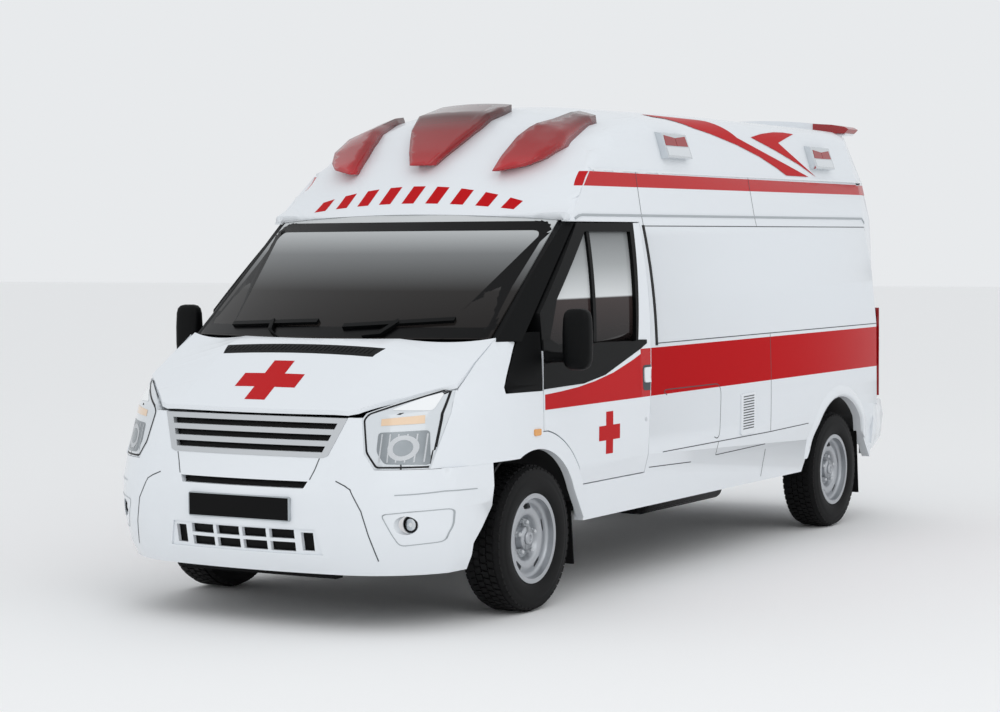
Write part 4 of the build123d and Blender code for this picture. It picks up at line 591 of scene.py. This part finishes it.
def build_markings(sizes):
    """Red crosses, the sweeps on the roof's sides and the row of blocks over the windscreen."""
    red = finishes()["red_film"]
    film("bonnet_cross", "bonnet", [("top", cross(736, -32, 122, 172, 42, 58))], red, sizes.film, step=30)
    for side, _ in SIDE_VIEWS:
        door = "cab_door_" + side
        film("door_cross_" + side, door, [(side, cross(-727, 802, 112, 106, 38, 37))], red, sizes.film)
        film("door_band_" + side, door, [(side, DOOR_BAND)], red, sizes.film)
        slope = "slope_" + side
        film("roof_sweep_" + side, "high_roof", [(slope, sloped(SWEEP)), (slope, sloped(ARROW))], red, 3.0,
             step=18)
    blocks = []
    for k in range(9):
        middle = 568 - k * 142
        block = []
        for across, share in ((-50, 0), (22, 0), (50, 1), (-22, 1)):
            bow = ((middle + across) / 641) ** 2
            block.append((middle + across, (1954 - 42 * bow) * (1 - share) + (2043 - 89 * bow) * share))
        blocks.append(("front", block))
    film("brow_blocks", "high_roof", blocks, red, sizes.film, step=25)


def build_seams(sizes):
    """Panel joints, swages and mouldings along both sides."""
    table = finishes()
    dark, light, white = table["shut_line"], table["grey_sealer_and_painted_shade"], table["plain_white_enamel"]
    for side, _ in SIDE_VIEWS:
        wall = "body_side_" + side
        runs = [[(-2709, 667), (-2709, 1226)], [(-2709, 1835), (-2709, 2112)], [(-1283, 1835), (-1300, 2112)],
                [(-1330, 655), (-2700, 660), (-3259, 669)], [(-2010, 583), (-2663, 592)],
                [(-2679, 559), (-2620, 412)], [(-2012, 655), (-2005, 585)], [(-1200, 585), (-1700, 570)]]
        if side == "left":
            runs += [[(-1283, 1226), (-4400, 1226)], [(-1283, 1835), (-4430, 1835)]]
            runs += [rounded([(-1305, 980), (-2036, 975), (-2020, 657)], 70)]
        lines("panel_joints_" + side, wall, side, runs, sizes.seam, dark)
        lines("gutter_" + side, "high_roof", side, [[(-815, 2121), (-4585, 2121)]], 14, white, 6, 8)
        lines("drip_" + side, wall, side, [[(-560, 1872), (-600, 1884), (-640, 1889), (-4600, 1889)]], 11,
              light, 5, 7)
        lines("pillar_strip_" + side, wall, side, [[(-1278, 1826), (-1264, 1229)]], 26, table["gloss_black"],
              3, 4)


def build_body_trim(sizes):
    """Window surrounds, handles, the louvred vent, arch lips and repeaters."""
    table = finishes()
    black, white, dark = table["black_moulding"], table["plain_white_enamel"], table["shut_line"]
    for side, _ in SIDE_VIEWS:
        door = "cab_door_" + side
        film("waist_moulding_" + side, door,
             [(side, [(-62, 1056), (-458, 1062), (-680, 1092), (-1077, 1206), (-1150, 1232), (-1150, 1250),
                                                      (-70, 1290)])], black, 3, 5)
        film("glass_bar_" + side, "door_glass_" + side,
             [(side, leg) for leg in ribbon([(-671, 1818), (-604, 1250)], 30)], black, 14, 14)
        handle = rounded([(-1096, 989), (-1210, 989), (-1210, 1120), (-1096, 1120)], 26)
        film("handle_" + side, door, [(side, handle)], dark, 0.8)
        film("handle_flap_" + side, door,
             [(side, rounded([(-1108, 1030), (-1198, 1030), (-1198, 1108), (-1108, 1108)], 18))], white, 7, 8)
        film("keyhole_" + side, door, [(side, disc(-1128, 841, 11, 16))], table["bright_chrome"], 2, 3)
        film("repeater_" + side, "front_wings",
             [(side, rounded([(30, 840), (-30, 840), (-30, 872), (30, 872)], 10))], table["amber_lens"], 6, 8)
        wall = "body_side_" + side
        film("vent_plate_" + side, wall,
             [(side, rounded([(-2285, 668), (-2481, 672), (-2481, 905), (-2285, 900)], 22))], white, 9, 10)
        slots = [(side, [(-2312, 700 + k * 15), (-2455, 703 + k * 15), (-2455, 709 + k * 15),
                         (-2312, 706 + k * 15)]) for k in range(13)]
        film("vent_slots_" + side, wall, slots, dark, 9.6)
        lip_into("arch_lip_rear_" + side, wall, side, REAR_AXLE, (449, 517), (12, 160))

def lip_into(name, node, view, axle, radii, span):
    """A swelling lip round a wheel opening, laid on the panel."""
    direction, place = VIEWS[view]
    tree = surface_tree(node)
    work = bmesh.new()
    profile = ((0.0, -3.0), (0.08, 9.0), (0.3, 13.0), (0.6, 10.0), (0.85, 4.0), (1.0, -1.0))
    rows = []
    for step in range(41):
        t = math.radians(span[0] + (span[1] - span[0]) * step / 40)
        row = []
        for share, lift in profile:
            radius = radii[0] + 1.5 + (radii[1] - radii[0]) * share
            start = place(axle + radius * math.cos(t), HUB_Z + radius * math.sin(t))
            hit, normal, _, _ = tree.ray_cast(start, direction)
            if hit is None:
                hit, normal, _, _ = tree.find_nearest(start + direction * 2.0)
            if normal.dot(direction) > 0:
                normal = -normal
            row.append(work.verts.new(hit - direction * lift * MM))
        rows.append(row)
    for one, two in zip(rows, rows[1:]):
        for k in range(len(profile) - 1):
            work.faces.new((one[k], one[k + 1], two[k + 1], two[k]))
    mesh = mesh_of(name, work, [finishes()["plain_white_enamel"]], 60)
    sample = mesh.polygons[len(mesh.polygons) // 2]
    if sample.normal.dot(direction) > 0:
        mesh.flip_normals()
    return make_object(name, mesh, body_of(node))


def backing(name, node, heights, half, behind):
    """A dark mesh sheet behind a slotted part, set back from its bars at the given heights."""
    tree = surface_tree(node)
    work = bmesh.new()
    rows = []
    for z in heights:
        row = []
        for k in range(21):
            y = half * (k / 10 - 1)
            hit = tree.ray_cast(at(FAR, y, z), Vector((-1, 0, 0)))[0] or tree.find_nearest(at(1000, y, z))[0]
            row.append(work.verts.new((hit.x - behind * MM, y * MM, z * MM)))
        rows.append(row)
    for one, two in zip(rows, rows[1:]):
        for k in range(20):
            work.faces.new((one[k], one[k + 1], two[k + 1], two[k]))
    return make_object(name, mesh_of(name, work, [finishes()["gloss_black"]], 60), body_of(node))


def build_nose(sizes):
    """Bumper joints, slot, grille and intake meshes, and the bonnet vent's slats."""
    table = finishes()
    dark, gloss = table["shut_line"], table["gloss_black"]
    joints = []
    for sign in (1, -1):
        joints.append([(sign * y, z) for y,
                       z in ((500, 689), (546, 671), (575, 655), (630, 560), (660, 440), (683, 335))])
        joints.append([(sign * y, z) for y, z in ((369, 694), (384, 731), (402, 785))])
    lines("bumper_joints", "front_bumper", "front", joints, 5, dark, 0.9, 0.0, 12)
    # a grey sliver along the bumper's swage crease on each side: painted shade in the crease
    swage = []
    for side, sign in SIDE_VIEWS:
        swage.append((side, [(894, 634), (834, 637), (715, 645), (506, 639), (506, 634), (715, 640),
                             (834, 632), (894, 629)]))
    film("bumper_swage", "front_bumper", swage, table["grey_sealer_and_painted_shade"], 0.9, 0.0, 15)
    backing("slot_backing", "front_bumper", (645, 690), 352, 30)
    backing("grille_backing", "grille", (802, 853, 905, 957), 462, 24)
    backing("intake_backing", "lower_grille", (358, 413, 466), 400, 20)
    # the fog lamp pockets are drawn as grey outline ribbons: painted shade round the recesses
    pockets = []
    for sign in (1, -1):
        pocket = rounded([(sign * y, z) for y,
                          z in ((712, 545), (817, 556), (938, 562), (932, 485), (908, 414), (772, 401))], 20)
        pockets += [("front", leg) for leg in ribbon(pocket, 4, True)]
    film("fog_pockets", "front_bumper", pockets, table["grey_sealer_and_painted_shade"], 0.9, 0.0, 15)
    lip = bmesh.new()
    box_into(lip, at(820, -430, 232), at(880, 430, 272))
    make_object("bumper_lip", mesh_of("bumper_lip", lip, [table["black_moulding"]]), body_of("front_bumper"))
    slats = []
    for k in range(34):
        y = -430 + 25 * k
        slats.append(("top", [(532, y), (545, y), (505, y + 9), (492, y + 9)]))
    film("vent_slats", "bonnet_vent", slats, gloss, 2.0, 2, 40)


def build_lamps(sizes):
    """Headlamp bowls and flashers, fog lamps, side flashers and tail lamps."""
    table = finishes()
    chrome, dark = table["bright_chrome"], table["dark_metal"]
    for sign in (1, -1):
        tag = "left" if sign > 0 else "right"
        view = "front"
        outline = rounded([(sign * y, z) for y, z in LAMP_EDGE], 12)
        film("lamp_edge_" + tag, "headlamps", [(view, leg) for leg in ribbon(outline, 8, True)], dark, 1.0,
             0.0, 12)
        bowl = [(sign * y, z) for y, z in ((664, 906), (845, 915), (866, 762), (706, 768), (668, 822))]
        film("lamp_bowl_" + tag, "headlamps", [(view, rounded(bowl, 16))], table["lamp_reflector"], 1.2, 0.0,
             12)
        film("lamp_bulb_" + tag, "headlamps", [(view, disc(sign * 766, 838, 56))], table["satin_silver"], 2.0,
             0.0, 12)
        film("lamp_eye_" + tag, "headlamps", [(view, disc(sign * 766, 838, 36))], table["lamp_reflector"],
             2.8, 0.0, 12)
        ribs = []
        for k in range(6):
            y = 678 + 32 * k
            ribs.append((view, [(sign * y, 900), (sign * (y + 5), 900), (sign * (y + 9), 775),
                                (sign * (y + 4), 775)]))
        film("lamp_flutes_" + tag, "headlamps", ribs, table["satin_silver"], 1.8, 0.0, 12)
        strip = [(sign * y, z) for y, z in ((668, 966), (822, 982), (826, 945), (670, 936))]
        film("lamp_amber_" + tag, "headlamps", [(view, strip)], table["pale_amber"], 1.4, 0.0, 12)
        upper = [(sign * y, z) for y, z in ((694, 1004), (790, 1058), (850, 1078), (840, 1000))]
        film("lamp_upper_" + tag, "headlamps", [(view, rounded(upper, 14))], table["lamp_white"], 1.4, 0.0,
             12)
        film("fog_ring_" + tag, "fog_lamps", [(view, disc(sign * 800, 495, 38))], dark, 1.0, 0.0, 12)
        film("fog_bowl_" + tag, "fog_lamps", [(view, disc(sign * 800, 495, 27))], chrome, 1.6)
        film("fog_bulb_" + tag, "fog_lamps", [(view, disc(sign * 800, 495, 10))], table["lamp_white"], 2.4)
    cells = []
    for side, sign in SIDE_VIEWS:
        for front, rear, top, low in ((-1660, -1944, 2331, 2203), (-3684, -3956, 2313, 2193)):
            middle = (front + rear) / 2
            split = low + (top - low) * 0.46
            cells.append((side, [(front - 8, split + 6), (middle + 3, split + 5), (middle + 3, top - 20),
                                 (front - 14, top - 8)], "red_lens"))
            cells.append((side, [(middle - 3, split + 5), (rear + 8, split + 6), (rear + 14, top - 8),
                                 (middle - 3, top - 20)], "red_lens"))
            cells.append((side, [(front - 8, low + 12), (rear + 8, low + 8), (rear + 8, split - 2),
                                 (front - 8, split - 2)], "clear_lens"))
    for finish in ("red_lens", "clear_lens"):
        film("flasher_" + finish, "side_flashers", [(s, p) for s, p, f in cells if f == finish],
             table[finish], 1.5, 2)
    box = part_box("tail_lamps")
    low, high = box[0].z / MM, box[1].z / MM
    for side, sign in SIDE_VIEWS:
        front = box[1].x / MM - FRONT_AXLE
        rear = box[0].x / MM - FRONT_AXLE
        for name, finish, share in (("amber", "amber_lens", (0.66, 0.82)),
                                    ("clear", "clear_lens", (0.5, 0.64))):
            z0, z1 = low + (high - low) * share[0], low + (high - low) * share[1]
            film("tail_%s_%s" % (name, side), "tail_lamps",
                 [(side, [(rear + 15, z0), (front - 15, z0), (front - 15, z1), (rear + 15, z1)])],
                 table[finish], 1.0)


def ring_into(work, centre, profile, sides):
    """Adds a closed ring about the Y axis: its profile lists (y, radius) in mm from the centre."""
    rows = []
    for k in range(sides):
        t = 2 * math.pi * k / sides
        rows.append([work.verts.new((centre.x + math.cos(t) * radius * MM, centre.y + along * MM,
                                     centre.z + math.sin(t) * radius * MM))
                     for along, radius in profile])
    count = len(profile)
    for k in range(sides):
        one, two = rows[k], rows[(k + 1) % sides]
        for j in range(count):
            work.faces.new((one[j], one[(j + 1) % count], two[(j + 1) % count], two[j]))


NUTS = 5                  # on each wheel
NUT_CIRCLE = 0.076        # m, radius the nuts stand on
CAP_SEAT = 0.045          # m from the hub's middle, where the cap's height is taken
OUTBOARD = 3.0            # m, outside the vehicle, where the rays start
TREAD_RIBS = (-0.8, -0.5, -0.17, 0.17, 0.5, 0.8)   # shares of the tyre's half width


def build_wheels(sizes):
    """Treaded tyres, wheel nuts and caps."""
    table = finishes()
    for end in ("front", "rear"):
        for side, sign in SIDE_VIEWS:
            tag = end + "_" + side
            node = "tyre_" + tag
            low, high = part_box(node)
            hub = (low + high) / 2
            half = (high.y - low.y) / 2 / MM
            radius = (high.z - low.z) / 2 / MM
            work = bmesh.new()
            profile = []
            for share, depth in ((0.72, 146), (0.9, 130), (0.985, 104), (0.998, 76), (0.985, 60), (0.97, 56),
                                 (0.975, 48), (0.93, 26), (0.86, 13), (0.74, sizes.tread + 1.5)):
                profile.append((half * share, radius - depth))
            profile += [(-along, r) for along, r in reversed(profile)]
            ring_into(work, hub, profile, 72)
            piece = make_object("tyre_form_" + tag, mesh_of("tyre_form_" + tag, work, [table["rubber"]], 50),
                                body_of(node))
            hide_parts(node)
            seed = bmesh.new()
            pitch = 2 * math.pi * radius / sizes.lugs
            for k, share in enumerate(TREAD_RIBS):
                shift = pitch * 0.5 * (k % 2)
                wide = half * (0.2 if abs(share) < 0.7 else 0.17)
                drop = 0.6 if abs(share) < 0.7 else 7.0
                for vertex in box_into(seed,
                                       ((shift - pitch * 0.37) * MM, (half * share - wide / 1.4) * MM,
                                        (radius - 22) * MM),
                                       ((shift + pitch * 0.37) * MM, (half * share + wide / 1.4) * MM,
                                        (radius - drop) * MM)):
                    reach = abs(vertex.co.y) / (half * MM)
                    if reach > 0.85 and vertex.co.z > (radius - 15) * MM:
                        vertex.co.z -= 7 * MM
                    vertex.co.x += 0.16 * vertex.co.y * (1 if share > 0 else -1)
                    angle = vertex.co.x / (radius * MM)
                    top = vertex.co.z
                    vertex.co.x, vertex.co.z = math.sin(angle) * top, math.cos(angle) * top
            source = bpy.data.meshes.new("tread_seed_" + tag)
            seed.to_mesh(source)
            seed.free()
            tread = repeated("tread_" + tag, source, sizes.lugs, table["rubber"])
            tread.transform(Matrix.Translation(hub))
            make_object("tread_" + tag, tread, body_of(node))
            wheel = "wheel_" + tag
            tree = surface_tree(wheel)
            direction = Vector((0, -sign, 0))
            work = bmesh.new()
            for k in range(NUTS):
                t = 2 * math.pi * (k + 0.25) / NUTS
                start = Vector((hub.x + NUT_CIRCLE * math.cos(t), sign * OUTBOARD,
                                hub.z + NUT_CIRCLE * math.sin(t)))
                hit = tree.ray_cast(start, direction)[0]
                if hit is None:
                    hit = tree.find_nearest(Vector((start.x, hub.y, start.z)))[0]
                drum_into(work, hit, (0, sign, 0), ((-3, 15), (20, 15), (21, 12), (36, 12), (40, 8)), 6)
            make_object("nuts_" + tag, mesh_of("nuts_" + tag, work, [table["satin_silver"]], 30),
                        body_of(wheel))
            work = bmesh.new()
            hit = tree.ray_cast(Vector((hub.x + CAP_SEAT, sign * OUTBOARD, hub.z)),
                                direction)[0] or Vector((hub.x, hub.y, hub.z))
            drum_into(work, Vector((hub.x, hit.y, hub.z)), (0, sign, 0),
                      ((-6, 33), (8, 33), (14, 28), (14, 17), (9, 15), (9, 4)), 32)
            make_object("cap_" + tag, mesh_of("cap_" + tag, work, [table["wheel_silver"]], 30),
                        body_of(wheel))


MIRROR_SIDES = 32
MIRROR_SQUARENESS = 0.6   # 1 is an oval, less is squarer


def mirror_shell(node, low, high, inner, outer):
    """A rounded mirror housing on its stubby arm."""
    work = bmesh.new()
    near = inner + (outer - inner) * 0.4
    y_mid, x_mid = (near + outer) / 2, (low.x + high.x) / 2
    half_y, half_x = abs(outer - near) / 2, (high.x - low.x) / 2
    rings = []
    for share, scale, slim in ((0.0, 0.3, 0.35), (0.02, 0.62, 0.6), (0.07, 0.86, 0.8), (0.16, 0.97, 0.94),
                               (0.3, 1, 1), (0.6, 1, 1),
                               (0.84, 0.95, 0.95), (0.93, 0.86, 0.86), (0.98, 0.66, 0.7), (1.0, 0.36, 0.4)):
        ring = []
        for k in range(MIRROR_SIDES):
            t = 2 * math.pi * k / MIRROR_SIDES
            c, d = math.cos(t), math.sin(t)
            y = y_mid + half_y * scale * math.copysign(abs(c) ** MIRROR_SQUARENESS, c)
            x = x_mid + half_x * slim * math.copysign(abs(d) ** MIRROR_SQUARENESS, d)
            if x < x_mid:
                x = x_mid - (x_mid - x) * 0.75
            ring.append(work.verts.new((x * MM, y * MM, (low.z + (high.z - low.z) * share) * MM)))
        rings.append(ring)
    for one, two in zip(rings, rings[1:]):
        for k in range(MIRROR_SIDES):
            work.faces.new((one[k], one[(k + 1) % MIRROR_SIDES], two[(k + 1) % MIRROR_SIDES], two[k]))
    work.faces.new(rings[0][::-1])
    work.faces.new(rings[-1])
    level = low.z + (high.z - low.z) * 0.2
    drum_into(work, Vector((x_mid * MM, inner * MM, level * MM)), (0, 1 if outer > 0 else -1, 0),
              ((0.5, 33), (30, 26), (90, 24), (125, 30)), 20)
    return make_object("mirror_shell_" + node,
                       mesh_of("mirror_shell_" + node, work, [finishes()["black_moulding"]], 50),
                       body_of(node))


def build_glazing(sizes):
    """Printed band round the windscreen, wipers, mirror glasses and the rear doors' fittings."""
    table = finishes()
    black = table["black_moulding"]
    edge = [(-800, 1836), (800, 1836), (850, 1332), (-850, 1332)]
    band = rounded(edge, 60)
    film("screen_band", "windscreen", [("front", leg) for leg in ribbon(band, 46, True)],
         table["gloss_black"], 0.5, 0.0, 50)
    runs = [[(-600, 1352), (-60, 1372)], [(120, 1352), (640, 1384)]]
    film("wiper_blades", "windscreen", [("front", leg) for run in runs for leg in ribbon(run, 16)], black, 16,
         15, 50)
    runs = [[(-300, 1315), (-330, 1362)], [(330, 1315), (380, 1368)]]
    film("wiper_arms", "windscreen", [("front", leg) for run in runs for leg in ribbon(run, 20)], black, 20,
         19, 50)
    for side, sign in SIDE_VIEWS:
        node = "mirror_" + side
        low, high = (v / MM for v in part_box(node))
        inner, outer = sorted((low.y, high.y), key=abs)
        shell = mirror_shell(node, low, high, inner, outer)
        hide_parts(node)
        glass = rounded([(inner + sign * 60, low.z + 40), (outer - sign * 28, low.z + 40),
                         (outer - sign * 28, high.z - 34), (inner + sign * 60, high.z - 34)], 30)
        film("mirror_glass_" + side, node, [("rear", glass)], table["bright_chrome"], 0.2)
        door = "rear_door_" + side
        fittings = [("rear", rounded([(sign * 40, 960), (sign * 40, 1110), (sign * 130, 1110),
                                      (sign * 130, 960)], 20))]
        if side == "right":
            film("rear_handle", door, fittings, black, 8, 9)


FLOOR_HALF = 70                           # m
CAMERA_LENS = 2322.1 * 36 / 1000          # mm, on a 36 mm sensor
CAMERA_PLACE = (9525.8, 6406.6, 1760.4)   # station, y and z in mm
CAMERA_TURN = (210.545, -2.83, -0.35)     # yaw, pitch and roll in degrees


def soft_light(name, power, size, place, target):
    """A soft square light aimed at a point."""
    light = bpy.data.lights.new(name, "AREA")
    light.size = size
    light.energy = power
    lamp = bpy.data.objects.new(name, light)
    lamp.location = place
    lamp.rotation_euler = (Vector(target) - Vector(place)).to_track_quat("-Z", "Y").to_euler()
    bpy.context.scene.collection.objects.link(lamp)


def build_stage(sizes):
    """Pale floor and backdrop, soft lights, and the camera."""
    scene = bpy.context.scene
    scene.view_settings.view_transform = "Standard"
    world = bpy.data.worlds.new("studio_light")
    scene.world = world
    world.use_nodes = True
    world.node_tree.nodes["Background"].inputs[0].default_value = (0.96, 0.98, 1.0, 1)
    world.node_tree.nodes["Background"].inputs[1].default_value = 0.84
    mesh = bpy.data.meshes.new("floor")
    corners = [(x * FLOOR_HALF, y * FLOOR_HALF, 0) for x, y in ((-1, -1), (1, -1), (1, 1), (-1, 1))]
    mesh.from_pydata(corners, [], [(0, 1, 2, 3)])
    mesh.materials.append(finish_of("pale_floor", "#F7F7F7", 0.9))
    floor = bpy.data.objects.new("floor", mesh)
    scene.collection.objects.link(floor)
    soft_light("key", 170, 7, (8, 7, 8), (0, 0, 1))
    soft_light("side", 60, 8, (-2, 12, 7), (-1, 0, 1.2))
    soft_light("front", 40, 8, (12, -4, 6), (1, 0, 1.0))
    camera_data = bpy.data.cameras.new("camera")
    camera_data.lens = CAMERA_LENS
    camera_data.clip_end = 200
    camera = bpy.data.objects.new("camera", camera_data)
    yaw, pitch, roll = (math.radians(v) for v in CAMERA_TURN)
    ahead = Vector((math.cos(yaw) * math.cos(pitch), math.sin(yaw) * math.cos(pitch), math.sin(pitch)))
    camera.location = at(*CAMERA_PLACE)
    camera.rotation_euler = (ahead.to_track_quat("-Z", "Y") @ Matrix.Rotation(roll, 3,
                                                                              "Z").to_quaternion()).to_euler()
    scene.collection.objects.link(camera)
    scene.camera = camera


# ---- Operators, panel and main ---------------------------------------------------------------------
class BuildStep:
    # What the operators share: each names the function that it runs.
    def execute(self, context):
        self.build(context.scene.ambulance_sizes)
        return {"FINISHED"}


class AMBULANCE_OT_skins(BuildStep, bpy.types.Operator):
    """Puts every panel and part in its finish"""

    bl_idname = "ambulance.skins"
    bl_label = "Panels and parts"
    build = staticmethod(build_skins)


class AMBULANCE_OT_markings(BuildStep, bpy.types.Operator):
    """Lays the red markings"""

    bl_idname = "ambulance.markings"
    bl_label = "Markings"
    build = staticmethod(build_markings)


class AMBULANCE_OT_seams(BuildStep, bpy.types.Operator):
    """Draws the panel joints and mouldings"""

    bl_idname = "ambulance.seams"
    bl_label = "Panel joints"
    build = staticmethod(build_seams)


class AMBULANCE_OT_trim(BuildStep, bpy.types.Operator):
    """Adds window surrounds, handles, the louvred vent and the arch lips"""

    bl_idname = "ambulance.trim"
    bl_label = "Body trim"
    build = staticmethod(build_body_trim)


class AMBULANCE_OT_nose(BuildStep, bpy.types.Operator):
    """Details the bumper, grille and intake"""

    bl_idname = "ambulance.nose"
    bl_label = "Nose"
    build = staticmethod(build_nose)


class AMBULANCE_OT_lamps(BuildStep, bpy.types.Operator):
    """Details the headlamps, fog lamps, side flashers and tail lamps"""

    bl_idname = "ambulance.lamps"
    bl_label = "Lamps"
    build = staticmethod(build_lamps)


class AMBULANCE_OT_wheels(BuildStep, bpy.types.Operator):
    """Makes the treaded tyres, nuts and caps"""

    bl_idname = "ambulance.wheels"
    bl_label = "Wheels"
    build = staticmethod(build_wheels)


class AMBULANCE_OT_glazing(BuildStep, bpy.types.Operator):
    """Adds the windscreen's band, wipers and mirror glasses"""

    bl_idname = "ambulance.glazing"
    bl_label = "Glazing"
    build = staticmethod(build_glazing)


class AMBULANCE_OT_stage(BuildStep, bpy.types.Operator):
    """Sets up the floor, lights and camera"""

    bl_idname = "ambulance.stage"
    bl_label = "Stage"
    build = staticmethod(build_stage)


STEPS = (
    AMBULANCE_OT_skins, AMBULANCE_OT_markings, AMBULANCE_OT_seams, AMBULANCE_OT_trim, AMBULANCE_OT_nose,
    AMBULANCE_OT_lamps, AMBULANCE_OT_wheels, AMBULANCE_OT_glazing, AMBULANCE_OT_stage)


class AMBULANCE_PT_panel(bpy.types.Panel):
    """Lists the steps and the sizes they take"""

    bl_idname = "AMBULANCE_PT_panel"
    bl_label = "Ambulance"
    bl_space_type = "VIEW_3D"
    bl_region_type = "UI"
    bl_category = "Ambulance"

    def draw(self, context):
        for name in ("white", "red", "film", "seam", "lugs", "tread"):
            self.layout.prop(context.scene.ambulance_sizes, name)
        for step in STEPS:
            self.layout.operator(step.bl_idname)


def register():
    """Registers the classes and hangs the settings on the scene."""
    for kind in (AMBULANCE_PG_sizes,) + STEPS + (AMBULANCE_PT_panel,):
        bpy.utils.register_class(kind)
    bpy.types.Scene.ambulance_sizes = PointerProperty(type=AMBULANCE_PG_sizes)


def unregister():
    """Takes the settings and the classes away again."""
    del bpy.types.Scene.ambulance_sizes
    for kind in reversed((AMBULANCE_PG_sizes,) + STEPS + (AMBULANCE_PT_panel,)):
        bpy.utils.unregister_class(kind)


def main():
    """Builds the whole look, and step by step."""
    register()
    for step in STEPS:
        group, name = step.bl_idname.split(".")
        getattr(getattr(bpy.ops, group), name)()


if __name__ == "__main__":
    main()
